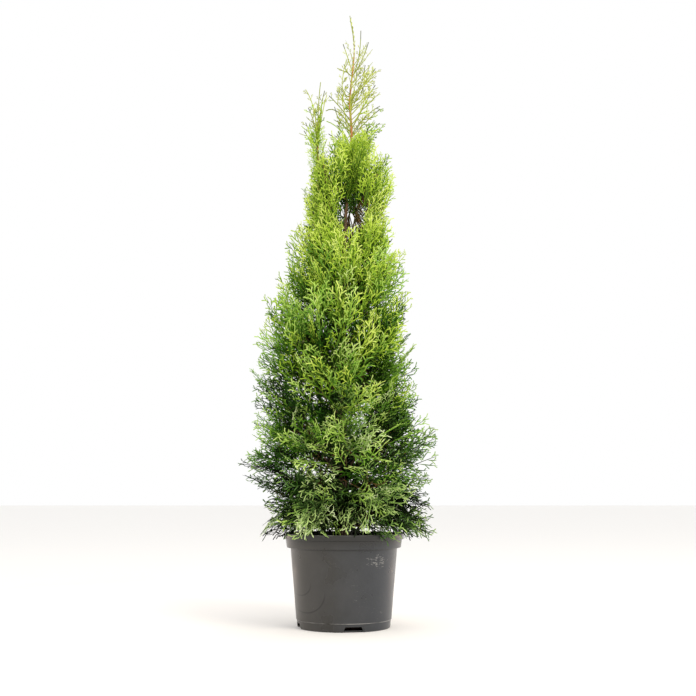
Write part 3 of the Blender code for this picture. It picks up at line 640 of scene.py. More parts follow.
def setOut(mass):
    # Root, bough, stem and the space of one mass
    mass.setdefault("near", 0.0)
    mass.setdefault("far", 1.0)
    mass.setdefault("carrier", "trunkBends")
    mass["skirt"] = mass["bottom"] == "skirtBottom"
    mass["floor"] = pot["height"] + crown["skirtGap"] if mass["skirt"] else 0.0
    mass.setdefault("ceiling", min(coneAt(mass["top"], mass["far"]),
                                   limbs["trunkBends"][-1][0] - crown["underTip"]))
    out = Vector((math.cos(mass["turn"]), math.sin(mass["turn"]), 0.0))
    root = stemAt(limbs[mass["carrier"]], mass["root"])
    if mass["bough"]:
        height = (coneAt(mass["bottom"], 0.10) + coneAt(mass["top"], 0.10)) / 2
        near, _ = around(root)
        rho = between(near, crownReach(mass, mass["turn"], height), crown["boughReach"])
        low = max(coneAt(mass["bottom"], rho), mass["root"])
        tip = fromTrunk(rho, mass["turn"],
                        between(low, coneAt(mass["top"], rho), crown["boughRise"]))
        outward, upward = crown["boughBend"]
        control = Vector((between(root.x, tip.x, outward), between(root.y, tip.y, outward),
                          between(root.z, tip.z, upward)))
        mass["boughPath"] = (root, control, tip)
        mass["start"] = tip
        mass["heading"] = (tip - control).normalized()
        mass["startRadius"] = crown["stemRadius"]
    else:
        mass["start"] = root
        mass["heading"] = (out * 0.5 + Vector((0, 0, 1))).normalized()
        mass["startRadius"] = crown["plumeRadius"]
    near, _ = around(mass["start"])
    height = (mass["start"].z + mass["ceiling"]) / 2
    rho = between(near, crownReach(mass, mass["turn"], height), crown["stemReach"])
    low = max(coneAt(mass["bottom"], rho), mass["start"].z)
    high = min(coneAt(mass["top"], rho), mass["ceiling"])
    end = fromTrunk(rho, mass["turn"], between(low, high, crown["stemRise"]))
    control = (mass["start"]
               + mass["heading"] * (end - mass["start"]).length * crown["stemBend"])
    mass["stemPath"] = (mass["start"], control, end)
    return mass


def allMasses():
    masses = []
    for tier in tiers:
        for index in range(tier["count"]):
            mass = dict(tier, name=f"{tier['name']}_{index + 1}",
                        turn=math.radians(tier["turn"] + index * 360 / tier["count"]),
                        spread=math.pi / tier["count"])
            floor = max(cones[tier["bottom"]][0], crown["soilTop"] + crown["rootLift"])
            mass["root"] = between(floor, cones[tier["top"]][0], crown["rootShares"][index % 3])
            masses.append(mass)
    for shared, rows in ((upper, upperRows), (plume, plumeRows)):
        for row in rows:
            mass = dict(shared)
            mass.update(row)
            mass["turn"] = math.radians(row["turn"])
            mass["spread"] = math.radians(row["half"])
            masses.append(mass)
    return [setOut(mass) for mass in masses]


# Bark of the trunk, the second stem and the boughs

def stringyBark():
    # Young arborvitae bark: thin and stringy, grey-brown at the foot, orange on the leader and
    # green on its newest growth
    material = newMaterial("stringyBark", IOR=1.45, Roughness=0.8)
    add = partial(addNode, material)
    place = add("TexCoord")["Object"]
    height = add("SeparateXYZ", (place,))["Z"]
    # Fibres about 1 mm wide and some 15 mm long
    stretched = add("Mapping", {"Vector": place, "Scale": (1.0, 1.0, 0.10)})["Vector"]
    fibres = add("TexNoise", {"Vector": stretched, "Scale": 650.0, "Detail": 4.0,
                              "Roughness": 0.65})["Fac"]
    colour = add("ValToRGB", (fibres,), limbs["barkFoot"])["Color"]
    for low, high, stops in limbs["barkAbove"]:
        tint = add("ValToRGB", (fibres,), stops)["Color"]
        share = add("MapRange", (height, low, high))["Result"]
        colour = add("Mix", {"Factor": share, "A": colour, "B": tint},
                     data_type="RGBA")["Result"]
    bump = add("Bump", {"Height": fibres, "Strength": 0.6, "Distance": 0.0006})["Normal"]
    connect(material, Base_Color=colour, Normal=bump)
    return material


bark = stringyBark()
masses = allMasses()

for name, node, bends, radiusAt, sides, seed in (
        ("trunkBark", "trunk", "trunkBends", trunkRadius, limbs["trunkSides"], 3.1),
        ("secondStemBark", "second_stem", "stemBends", stemRadius, limbs["stemSides"], 7.7)):
    tube = Joined()
    barkTube(tube, *upright(limbs[bends], radiusAt), sides, seed)
    finishPiece(tube.piece(name, [bark], True), "bark", node)

boughs = [mass for mass in masses if mass["bough"]]
boughTubes = Joined()
for number, mass in enumerate(boughs):
    shares = [index / limbs["boughRings"] for index in range(limbs["boughRings"] + 1)]
    points = [curved(*mass["boughPath"], share) for share in shares]
    radii = [between(mass["bough"], mass["startRadius"], share) for share in shares]
    barkTube(boughTubes, points, radii, limbs["boughSides"], 11.0 + number)
finishPiece(boughTubes.piece("boughBark", [bark], True), "bark",
            *[mass["name"] + "_bough" for mass in boughs])
print("bark ready")


# Soil: damp peat mix with crumbs and bits of composted bark

soil = dict(top=crown["soilTop"], gap=0.0006, lift=0.0003, footDraw=0.026, sides=72, rings=26,
            wave=0.0016, waveScale=(60, 190), edge=0.008, crumbs=900, crumbSize=(0.0010, 0.0034),
            crumbEdge=0.005)


def makeSoil():
    radius = potWallRadius(soil["top"]) - pot["wall"] - soil["gap"]
    low = potWallRadius(pot["notchHeight"]) - pot["wall"] - soil["gap"]
    inner = pot["bodyFootRadius"] - soil["footDraw"]
    ledge = pot["notchHeight"] + soil["lift"]
    bed = drawnUp("pottingSoil", soil["sides"],
                  [(inner, pot["floor"] + soil["lift"]), (inner, ledge), (low, ledge),
                   (radius, soil["top"])])
    for _ in range(soil["rings"] - 1):
        bpy.ops.mesh.inset(thickness=radius / soil["rings"], use_boundary=True)
    closeShape()
    broad, fine = soil["waveScale"]
    for corner in bed.data.vertices:
        rho = math.hypot(corner.co.x, corner.co.y)
        if corner.co.z > soil["top"] - 0.001 and rho < radius - 0.001:
            fade = min(1.0, (radius - rho) / soil["edge"])
            lump = noise.noise(corner.co * broad) + 0.6 * noise.noise(corner.co * fine)
            corner.co.z += soil["wave"] * fade * lump
    smoothShape(bed, 40, peat)
    return bed


def makeCrumbs():
    rng = random.Random("crumbs")
    shape = bmesh.new()
    bmesh.ops.create_icosphere(shape, subdivisions=1, radius=1.0)
    ball = np.array([corner.co for corner in shape.verts])
    faces = np.array([[corner.index for corner in face.verts] for face in shape.faces])
    shape.free()
    joined = Joined()
    radius = potWallRadius(soil["top"]) - pot["wall"] - soil["crumbEdge"]
    for _ in range(soil["crumbs"]):
        # None in the very middle, where the trunk stands
        rho = radius * math.sqrt(rng.uniform(0.025, 1.0))
        turn = rng.uniform(0, math.tau)
        size = rng.uniform(*soil["crumbSize"])
        stretch = np.array([rng.uniform(0.7, 1.5), rng.uniform(0.6, 1.2), rng.uniform(0.4, 0.8)])
        rough = np.array([rng.uniform(0.8, 1.15) for _ in range(len(ball))])[:, None]
        angle = rng.uniform(0, math.tau)
        spin = np.array([[math.cos(angle), math.sin(angle), 0],
                         [-math.sin(angle), math.cos(angle), 0], [0, 0, 1]])
        place = np.array([rho * math.cos(turn), rho * math.sin(turn), soil["top"] + size * 0.25])
        # One crumb in four is a bark chip
        joined.add(place + (ball * rough * stretch * size) @ spin, faces,
                   rng.choice((0, 0, 0, 1)))
    return joined


def peatMix(name, dark, middle, pale):
    # Damp peat and composted bark: matt, granular, with paler fibres
    material = newMaterial(name, IOR=1.4, Roughness=0.95)
    add = partial(addNode, material)
    place = add("TexCoord")["Object"]
    # Grains of 1 to 4 mm
    grains = add("TexNoise", {"Vector": place, "Scale": 420.0, "Detail": 5.0,
                              "Roughness": 0.7})["Fac"]
    tint = add("ValToRGB", (grains,), [(0.35, dark), (0.55, middle), (0.72, pale)])["Color"]
    bump = add("Bump", {"Height": grains, "Strength": 0.8, "Distance": 0.0012})["Normal"]
    connect(material, Base_Color=tint, Normal=bump)
    return material


peat = peatMix("dampPeat", "1A110B", "33231A", "5A4433")
chips = peatMix("compostedBark", "2E1C10", "5A3A22", "8A6440")
finishPiece(makeSoil(), "peat", "soil")
finishPiece(makeCrumbs().piece("soilCrumbs", [peat, chips], False), "peat")
print("soil ready")


# Sprays: flat fans of scale-leaved branchlets. Tone rises from the painted shade at the fan's
# foot, deeper in the crown, to its paler new tips.
# Sizes are shares of a spray's length; the angles are at its foot and at its tip.

sprayStyles = dict(
    full=dict(branchlets=8, first=0.08, spread=0.44, angle=(52, 26), fingers=4, shapes=16,
              fingerLength=0.155, fingerWidth=0.0122, branchletWidth=0.0125, rachis=0.013),
    light=dict(branchlets=7, first=0.10, spread=0.40, angle=(50, 28), fingers=3, shapes=16,
               fingerLength=0.185, fingerWidth=0.0135, branchletWidth=0.0138, rachis=0.014),
    airy=dict(branchlets=7, first=0.12, spread=0.50, angle=(42, 20), fingers=3, shapes=14,
              fingerLength=0.15, fingerWidth=0.0115, branchletWidth=0.0120, rachis=0.013),
    plume=dict(branchlets=6, first=0.26, spread=0.25, angle=(44, 30), fingers=2, shapes=12,
               fingerLength=0.12, fingerWidth=0.0130, branchletWidth=0.0130, rachis=0.013),
    fork=dict(branchlets=3, first=0.38, spread=0.50, angle=(44, 32), fingers=0, shapes=12,
              fingerLength=0.0, fingerWidth=0.0, branchletWidth=0.052, rachis=0.055,
              darkTips=True),
    antler=dict(branchlets=4, first=0.42, spread=0.22, angle=(40, 30), fingers=1, shapes=12,
                fingerLength=0.10, fingerWidth=0.0125, branchletWidth=0.0130, rachis=0.014),
    coarse=dict(branchlets=6, first=0.08, spread=0.44, angle=(54, 32), fingers=3, shapes=6,
                fingerLength=0.20, fingerWidth=0.024, branchletWidth=0.024, rachis=0.022),
)

fingerFaces = np.array([[0, 1, 4], [0, 4, 3], [1, 2, 5], [1, 5, 4], [2, 0, 3], [2, 3, 5],
                        [3, 4, 6], [4, 5, 6], [5, 3, 6], [2, 1, 0]])
branchletFaces = np.array([[0, 2, 3], [0, 3, 1], [0, 1, 2], [1, 3, 6], [1, 6, 4], [3, 2, 5],
                           [3, 5, 6], [2, 1, 4], [2, 4, 5], [7, 6, 5], [7, 4, 6], [7, 5, 4]])


def finger(root, tip, halfWidth):
    # Three-sided and blunt: a foot, shoulders a little wider, and the tip
    root, tip = np.array(root), np.array(tip)
    way = tip - root
    side = np.array([way[1], -way[0]]) / np.linalg.norm(way) * halfWidth
    corners = []
    for place, width in ((root, 0.75), (root + way * 0.80, 1.0)):
        corners += [(*(place - side * width), 0.0), (*place, halfWidth * width * 0.8),
                    (*(place + side * width), 0.0)]
    return np.array(corners + [(*tip, 0.0)])


def branchlet(root, middle, tip, halfWidth):
    # As a finger, with a second set of shoulders so that it can curve
    root, middle, tip = np.array(root), np.array(middle), np.array(tip)
    corners = [(*root, 0.0)]
    for place, way, width in ((between(root, middle, 0.6), middle - root, halfWidth * 0.9),
                              (between(middle, tip, 0.25), tip - middle, halfWidth)):
        side = np.array([way[1], -way[0]]) / np.linalg.norm(way) * width
        corners += [(*(place - side), 0.0), (*(place + side), 0.0), (*place, width * 0.8)]
    corners.append((*tip, 0.0))
    return np.array(corners)


def makeSpray(style, seed):
    rng = random.Random(f"spray {seed}")
    joined = Joined()
    lean = rng.uniform(-0.05, 0.05)

    def onRachis(along):
        return np.array([lean * along * along, along])

    path = [(*onRachis(0.97 * step / 5), 0.0) for step in range(6)]
    widths = [between(style["rachis"], style["rachis"] * 0.45, step / 5) for step in range(6)]
    corners, faces = tubeArrays([(x, y, z + 0.004) for x, y, z in path], widths, 3)
    # The rachis is painted in shade tones
    joined.add(corners, faces, -1.6)
    side = rng.choice((-1, 1))
    for index in range(style["branchlets"]):
        share = (index + rng.uniform(-0.2, 0.2)) / style["branchlets"]
        along = between(style["first"], 0.95, max(0.0, share))
        # Longest a little below the middle, and shorter towards the foot and the tip
        swell = math.sin(math.pi * (0.18 + along)) if along < 0.42 else 1.0
        length = style["spread"] * swell * between(1.0, 0.26, max(0.0, (along - 0.35) / 0.6))
        length *= rng.uniform(0.82, 1.12)
        angle = math.radians(between(*style["angle"], along) + rng.uniform(-6, 6))
        way = np.array([side * math.sin(angle), math.cos(angle)])
        later = angle - math.radians(rng.uniform(8, 20))
        bent = np.array([side * math.sin(later), math.cos(later)])
        root = onRachis(along)
        middle = root + way * length * 0.5
        tip = middle + bent * length * 0.5
        # Painted shade: darker towards the fan's foot, which lies deeper in the crown, paler at
        # the new tips
        tone = between(-1.7, 0.30, along**0.8) + rng.uniform(-0.25, 0.25)
        tones = np.full(len(branchletFaces), tone)
        if style.get("darkTips"):
            tones[-3:] = 1.0
        joined.add(branchlet(root, middle, tip, style["branchletWidth"]), branchletFaces, tones)
        count = round(style["fingers"] * between(0.35, 1.0, length / style["spread"]))
        turn = rng.choice((-1, 1))
        for step in range(count):
            place = between(0.24, 0.90, (step + rng.uniform(0.2, 0.8)) / count)
            foot = between(root, middle, place * 2) if place < 0.5 else \
                between(middle, tip, place * 2 - 1)
            spread = math.radians(rng.uniform(34, 48)) * turn
            out = (later if place > 0.5 else angle) * side + spread
            size = style["fingerLength"] * rng.uniform(0.65, 1.15) * (1 - 0.35 * place)
            end = foot + np.array([math.sin(out), math.cos(out)]) * size
            joined.add(finger(foot, end, style["fingerWidth"] * rng.uniform(0.85, 1.1)),
                       fingerFaces, tone + between(0.1, 0.9, place) + rng.uniform(-0.3, 0.3))
            turn = -turn
        side = -side
    return (np.concatenate(joined.corners), np.concatenate(joined.faces),
            np.concatenate(joined.kinds))


oneScale = (finger((0, 0), (0, 1), 0.15), fingerFaces, np.zeros(len(fingerFaces)))
sprays = {name: [makeSpray(style, f"{name} {index}") for index in range(style["shapes"])]
          for name, style in sprayStyles.items()}
print("sprays ready")


# Foliage colours: plain colours, dealt out by spray. Each set runs from the shade to the
# light and ends with the brown of dry tips.

leafColours = dict(
    young=["152A01", "2B4706", "4A6D12", "7A9D29", "A5C43B", "C1D854", "D5E673", "72794F"],
    fresh=["0D2401", "1E4007", "3A6413", "66922E", "92BC47", "AFD05F", "C9DF80", "677A50"],
    older=["050B01", "121F07", "2B4216", "527237", "8AAA56", "B4CC7C", "D6E4AA", "5E644E"],
    shoot=["949E3C", "B4BE58", "D0D786", "6C7250"],
)


def scaleLeaf(number, colour):
    # Scale leaves pressed flat to the twig: a waxy skin with a soft sheen
    return newMaterial(f"scaleLeaf{number}", IOR=1.42, Roughness=0.55, Specular_IOR_Level=0.12,
                       Base_Color=linear(colour))


leaves, firstOf, brownOf = [], {}, {}
for leafAge, colours in leafColours.items():
    firstOf[leafAge] = len(leaves)
    leaves += [scaleLeaf(len(leaves) + 1 + index, colour) for index, colour in enumerate(colours)]
    brownOf[leafAge] = len(leaves) - 1
lightest = brownOf["young"] - 1


# Growth of the masses. A pair of tones is for the plant's foot and for its top, any other
# pair is a range.

foliage = dict(
    # Twigs of a mass: rows and columns, fewer below some height, how far they stray, and how
    # far out they end; dark sprays inside; a twig's radii; and the rolls of a spray
    columns=6, rows=5, lowRows=4, lowUnder=0.40, jitter=0.45, reach=(0.83, 1.05),
    airyFrom=0.93, overReach=(1.01, 0.005), overTop=(0.030, 0.006), sideSprays=1, inner=14,
    lowInner=2, lowInnerUnder=0.50, twig=(0.0011, 0.0007), rolls=(0, 88),
    # Tones: outside, the painted shade that darkens them towards the trunk, scatter, how many
    # are painted bright as sunlit and how much, the heights over which the first of a pair gives
    # way to the second, and the top's gain
    outerTone=(2.90, 4.0), depthShade=(7.0, 4.0), sprayTone=(1.5, 0.9), brightShare=0.44,
    brightTone=(3.9, 1.4), toneFrom=0.35, toneRange=0.43, topTone=0.4, topFrom=0.84,
    topRise=5,
    # At the two sides, painted darker as shade: the change of tone, what the bright ones lose,
    # and the limit
    sideShade=-0.35, sideBright=2.6, mostTone=6.0, sideMost=2.4,
    # Heights at which older, fresh and young foliage give way, and over how much
    freshFrom=0.44, freshRange=0.24, allFresh=0.40, youngFrom=0.72, youngRange=0.20,
    freshMost=0.55, shootFrom=0.98, shootRange=0.09,
    # Dry tips: their share, and the share high up and from where
    brownShare=0.05, brownHigh=0.5, brownFrom=0.94,
)

# Places seen on the front, as place to the right, height, radius and change of tone:
# sunlit tufts painted brighter above nought, hollows between the boughs painted darker as
# shade below it
frontPlaces = [
    (-0.058, 0.635, 0.040, 0.9), (-0.143, 0.606, 0.035, 0.7), (-0.099, 0.511, 0.035, 0.9),
    (-0.090, 0.399, 0.040, 0.8), (0.085, 0.587, 0.040, 0.7), (-0.003, 0.520, 0.030, 1.0),
    (0.042, 0.530, 0.030, 0.8), (0.008, 0.430, 0.055, 1.0), (0.098, 0.319, 0.045, 0.8),
    (-0.047, 0.283, 0.045, 0.8), (-0.097, 0.239, 0.050, 0.6), (0.034, 0.215, 0.040, 0.8),
    (0.076, 0.252, 0.035, 0.7), (0.055, 0.862, 0.035, 0.6), (0.060, 0.797, 0.035, 0.8),
    (-0.073, 0.740, 0.035, 0.8), (-0.045, 0.862, 0.030, 0.5), (-0.015, 0.680, 0.040, 0.9),
    (0.083, 0.736, 0.030, 0.7), (-0.060, 0.800, 0.035, 0.5), (0.008, 0.870, 0.034, -2.0),
    (0.045, 0.700, 0.040, 0.7), (-0.050, 0.685, 0.035, 0.7), (-0.115, 0.560, 0.040, -1.0),
    (-0.150, 0.500, 0.045, -1.2), (-0.035, 0.600, 0.028, -2.1), (-0.026, 0.560, 0.032, -2.0),
    (-0.029, 0.483, 0.036, -2.1), (-0.053, 0.440, 0.028, -1.8), (0.104, 0.371, 0.044, -1.6),
    (0.015, 0.243, 0.030, -2.0),
]
frontLimits = (-2.2, 1.2)  # the least and the most change of tone where places overlap


def frontTone(place):
    if place[1] > 0:
        return 0.0
    change = 0.0
    for right, height, radius, tone in frontPlaces:
        far = math.hypot(place[0] - right, place[2] - height) / radius
        change += tone * max(0.0, 1 - far * far / 2)
    least, most = frontLimits
    return max(least, min(most, change))


# Openings as the photograph shows them: place to the right, height and radius where the
# line of sight meets the trunk's plane. Sky shows through the first kind; the second kind
# is only kept clear in front, so that the trunk and darker foliage show.
skyGaps = [(0.009, 0.806, 0.010), (0.030, 0.803, 0.011), (-0.028, 0.999, 0.012),
           (-0.030, 1.034, 0.015)]
hollows = [(0.014, 0.836, 0.018), (0.012, 0.812, 0.016), (0.006, 0.790, 0.014)]


def shareIn(places, openings):
    # The share of some places that stand in the line of sight of the openings
    places = np.array(places)
    eye = stage["cameraPlace"]
    nearer = eye[1] / (eye[1] - places[:, 1])
    right = eye[0] + (places[:, 0] - eye[0]) * nearer
    height = eye[2] + (places[:, 2] - eye[2]) * nearer
    inside = np.zeros(len(places), dtype=bool)
    for gapRight, gapHeight, radius in openings:
        inside |= np.hypot(right - gapRight, height - gapHeight) < radius
    return inside.mean()


def inTheWay(places, allowed=0.0):
    # Whether a spray would fill one of the openings, but for a share that is allowed
    inFront = max(place[1] for place in places) < 0.01
    return (shareIn(places, skyGaps) > allowed
            or inFront and shareIn(places, hollows) > allowed * 4)


def axesOf(heading):
    # Across a heading and level, and square to both
    level = Vector((0, 0, 1)).cross(heading).normalized()
    return level, heading.cross(level)


def placeSpray(joined, shape, root, heading, roll, length, droop, twist, cup, tone, rng,
               fresh=False):
    corners, faces, tones = shape
    tip = root + heading * length
    level, raised = axesOf(heading)
    across = np.array(level * math.cos(roll) + raised * math.sin(roll))
    heading = np.array(heading)
    face = np.cross(across, heading)
    x, y, z = corners[:, 0:1] * length, corners[:, 1:2] * length, corners[:, 2:3] * length
    along = corners[:, 1:2]
    angle = twist * along
    placed = (np.array(root) + heading * y
              + across * (x * np.cos(angle)) + face * (x * np.sin(angle) + z)
              + face * (cup * (x * x) / length))
    placed[:, 2:3] -= droop * length * along * along
    if inTheWay(placed, 0.04):
        return False
    kinds = np.clip(np.round(tones + tone), 0, lightest).astype(int)
    ends = tones > 0.6
    if rng.random() < (tip.z - foliage["shootFrom"]) / foliage["shootRange"]:
        kinds = firstOf["shoot"] + (kinds > 3) + (kinds > 4)
        if length > 0.010 and rng.random() < foliage["brownHigh"]:
            kinds[ends] = brownOf["shoot"]
        joined.add(placed, faces, kinds)
        return True
    if rng.random() < foliage["brownShare"] or (root[2] > foliage["brownFrom"]
                                                and rng.random() < foliage["brownHigh"]):
        kinds[ends] = brownOf["young"]
    # Lime above, fresh green in the middle, greyer and older foliage towards the pot
    if rng.random() < (foliage["freshFrom"] - root[2]) / foliage["freshRange"]:
        kinds += firstOf["older"]
    elif fresh or root[2] < foliage["allFresh"] or rng.random() < min(
            foliage["freshMost"], (foliage["youngFrom"] - root[2]) / foliage["youngRange"]):
        kinds += firstOf["fresh"]
    joined.add(placed, faces, kinds)
    return True


def drawn(value, rng):
    return rng.uniform(*value) if isinstance(value, tuple) else value


anyRoll = 1.5  # a fan that is turned anyhow has a roll up to this, in radians


def growFan(leafWork, style, root, way, roll, length, droop, twist, tone, rng, cup=0.0,
            fresh=False):
    # One spray of a style. A pair is a range: of a size, or of the rolls for openRoll. With
    # no roll it is turned anyhow.
    shape = rng.choice(sprays[style])
    if roll is None:
        roll = rng.uniform(-anyRoll, anyRoll)
    elif isinstance(roll, tuple):
        roll = openRoll(way, *roll, rng)
    length = drawn(length, rng)
    twist = rng.uniform(-twist, twist)
    cup = drawn(cup, rng)
    return placeSpray(leafWork, shape, root, way, roll, length, droop, twist, cup,
                      drawn(tone, rng), rng, fresh)


def makeTwig(joined, start, control, end, radii, sides=4, steps=4):
    points = [curved(start, control, end, step / steps) for step in range(steps + 1)]
    widths = [between(*radii, step / steps) for step in range(steps + 1)]
    joined.add(*tubeArrays(points, widths, sides), 0)


def goalAt(mass, aside, rise, share):
    turn = mass["turn"] + aside * mass["spread"]
    rho = crownReach(mass, turn, mass["stemPath"][2].z)
    for _ in range(3):
        low = max(coneAt(mass["bottom"], rho), mass["floor"])
        high = min(coneAt(mass["top"], rho), mass["ceiling"])
        height = between(low, high, rise)
        rho = crownReach(mass, turn, height)
    return fromTrunk(rho * share, turn, height), turn


def fits(mass, places, most=None):
    share, more = (most, 0.0) if most else foliage["overReach"]
    overCone, overCeiling = foliage["overTop"]
    for place in places:
        rho, turn = around(place)
        if not potClear(place) or rho > crownReach(mass, turn, place[2]) * share + more:
            return False
        if place[2] > min(coneAt(mass["top"], rho) + overCone, mass["ceiling"] + overCeiling):
            return False
    return not inTheWay(places)


def toneAt(mass, tip, rng):
    # Painted light and shade: bright lit tips over insides painted dark as shade, yellower
    # towards the top, painted darker at the two sides
    rho, turn = around(tip)
    depth = 1 - rho / crownReach(mass, turn, tip[2])
    tall = min(1.0, max(0.0, (tip[2] - foliage["toneFrom"]) / foliage["toneRange"]))
    beside = abs(math.cos(turn)) ** 3 * (1 - tall * tall)
    bright = between(*foliage["brightTone"], tall) - foliage["sideBright"] * beside
    if rng.random() > foliage["brightShare"] or bright < 0:
        bright = 0.0
    high = max(0.0, (tip[2] - foliage["topFrom"]) * foliage["topRise"])
    tone = (between(*foliage["outerTone"], tall)
            - between(*foliage["depthShade"], tall) * max(0.0, depth)
            + bright + frontTone(tip) + min(foliage["topTone"], high)
            + foliage["sideShade"] * beside
            + rng.gauss(0, between(*foliage["sprayTone"], tall)))
    return min(tone, foliage["mostTone"] - foliage["sideMost"] * beside)


def sprayPlaces(root, heading, roll, length, droop):
    # The tip, the middle and both sides of a spray that would grow there
    level, raised = axesOf(heading)
    across = level * math.cos(roll) + raised * math.sin(roll)
    drop = Vector((0, 0, droop * length))
    return [root + heading * length - drop, root + heading * 0.4 * length,
            root + (heading * 0.55 + across * 0.30) * length - drop * 0.3,
            root + (heading * 0.55 - across * 0.30) * length - drop * 0.3]


def lifted(turn, lift):
    # The direction at a turn round the trunk, raised by a number of degrees
    lift = math.radians(lift)
    return Vector((math.cos(turn) * math.cos(lift), math.sin(turn) * math.cos(lift),
                   math.sin(lift)))


def openRoll(heading, low, high, rng):
    # Of three rolls, mostly the one that turns the fan's face most to the front
    level, raised = axesOf(heading)
    rolls = [rng.choice((-1, 1)) * math.radians(rng.uniform(low, high)) for _ in range(3)]
    rolls.sort(key=lambda roll: abs((level * math.cos(roll) + raised * math.sin(roll))
                                    .cross(heading).y))
    return rolls[-1] if rng.random() < 0.8 else rolls[0]


# Twigs of a mass. Each has a few tries and strays further every time. Shares are of the
# mass's spread and length, of the height between its cones, and of its stem.
twigs = dict(tries=12, strayMore=0.03, highest=1.10, sideUse=0.96, aside=0.25,
             turn=(-0.45, 0.45), lift=(-9, 9), droop=(-0.04, 0.06), length=(0.72, 1.05),
             onStem=(0.05, 0.97), lower=(0.75, 1.0), straight=0.4, overlap=0.10, twist=0.9,
             cup=(-0.5, 0.5))


def growMass(mass, leafWork, twigWork):
    rng = random.Random(f"foliage {mass['name']}")
    made = 0
    stemEnd = mass["stemPath"][2].z
    rows = foliage["rows"] if stemEnd > foliage["lowUnder"] else foliage["lowRows"]
    for row in range(rows):
        for column in range(foliage["columns"]):
            for attempt in range(twigs["tries"]):
                loose = foliage["jitter"] + twigs["strayMore"] * attempt
                aside = (column + 0.5 + rng.uniform(-loose, loose)) * 2 / foliage["columns"] - 1
                rise = (row + 0.5 + rng.uniform(-loose, loose)) / rows
                rise = min(twigs["highest"], max(0.0, rise))
                if growTwig(mass, aside * twigs["sideUse"], rise, leafWork, twigWork, rng):
                    made += 1
                    break
    for _ in range(foliage["inner" if stemEnd > foliage["lowInnerUnder"] else "lowInner"]):
        growInner(mass, leafWork, rng)
    return made


# Hand-like fans that hang over the rim with their faces outwards, less so at the sides
# A share of them is painted pale and bright as a highlight, less so at the sides
hanging = dict(share=0.4, lower=(14, 34), droop=0.12, sideLess=0.7, rolls=(30, 88),
               brightShare=0.35, tone=(4.2, 5.6), sideTone=3.2)


def growTwig(mass, aside, rise, leafWork, twigWork, rng):
    share = rng.uniform(*foliage["reach"])
    tip, turn = goalAt(mass, aside, rise, share)
    style = "airy" if share > foliage["airyFrom"] else "full"
    lift = between(*mass["lift"], rise) + rng.uniform(*twigs["lift"])
    droop = mass["droop"] + rng.uniform(*twigs["droop"])
    hangs = mass["skirt"] and rng.random() < hanging["share"]
    beside = abs(math.cos(turn))
    if hangs:
        lift -= rng.uniform(*hanging["lower"]) * (1 - hanging["sideLess"] * beside)
        droop += hanging["droop"] * (1 - hanging["sideLess"] * beside)
    heading = lifted(turn + aside * twigs["aside"] + rng.uniform(*twigs["turn"]), lift)
    low, high = foliage["rolls"]
    roll = openRoll(heading, low, between(*hanging["rolls"], beside) if hangs else high, rng)
    length = mass["length"] * rng.uniform(*twigs["length"])
    root = tip - heading * length
    if hangs:
        root.z += droop * length * 0.5
    if not potClear(root) or not fits(mass, sprayPlaces(root, heading, roll, length, droop)):
        return False
    along = between(*twigs["onStem"], rise * rng.uniform(*twigs["lower"]))
    start = curved(*mass["stemPath"], along)
    control = root - heading * (root - start).length * twigs["straight"]
    end = root + heading * length * twigs["overlap"]
    tone = toneAt(mass, tip, rng)
    # Painted highlight on a share of the hanging fans, fainter at the sides
    if hangs and rng.random() < hanging["brightShare"]:
        tone = rng.uniform(*hanging["tone"]) - hanging["sideTone"] * beside**3
    if not growFan(leafWork, style, root, heading, roll, length, droop, twigs["twist"], tone,
                   rng, twigs["cup"]):
        return False
    makeTwig(twigWork, start, control, end, foliage["twig"])
    for _ in range(foliage["sideSprays"]):
        growSideSpray(mass, aside, rise, droop, (start, control, end), leafWork, rng)
    return True


# A spray on the side of a twig: tries, where on the twig, its goal beside the twig's own,
# length, the shortest, and how much darker
sideSpray = dict(tries=6, onTwig=(0.30, 0.80), aside=(-0.7, 0.7), rise=(-0.35, 0.25),
                 reach=(0.70, 0.97), length=(0.65, 0.95), shortest=0.03, darker=0.3)


def growSideSpray(mass, aside, rise, droop, twig, leafWork, rng):
    for _ in range(sideSpray["tries"]):
        fork = curved(*twig, rng.uniform(*sideSpray["onTwig"]))
        goal, _ = goalAt(mass, max(-1, min(1, aside + rng.uniform(*sideSpray["aside"]))),
                         min(1.0, max(0.0, rise + rng.uniform(*sideSpray["rise"]))),
                         rng.uniform(*sideSpray["reach"]))
        way = goal - fork
        length = min(way.length, mass["length"] * rng.uniform(*sideSpray["length"]))
        way.normalize()
        roll = openRoll(way, *foliage["rolls"], rng)
        if (length < sideSpray["shortest"]
                or not fits(mass, sprayPlaces(fork, way, roll, length, droop))):
            continue
        tone = toneAt(mass, fork + way * length, rng) - sideSpray["darker"]
        growFan(leafWork, "light", fork, way, roll, length, droop, twigs["twist"], tone, rng,
                twigs["cup"])
        return


# Older shaded foliage near the limbs, which closes the view through the crown. Above some
# height it gets brighter.
innerSpray = dict(onStem=(0.0, 0.9), boughShare=0.45, onBough=(0.35, 1.0), aside=1.3,
                  lift=(-10, 20), length=(0.5, 0.75), reach=0.88, twist=0.5, tone=(0.2, 1.9),
                  brightFrom=0.80, brightRise=16, mostBright=2.0)


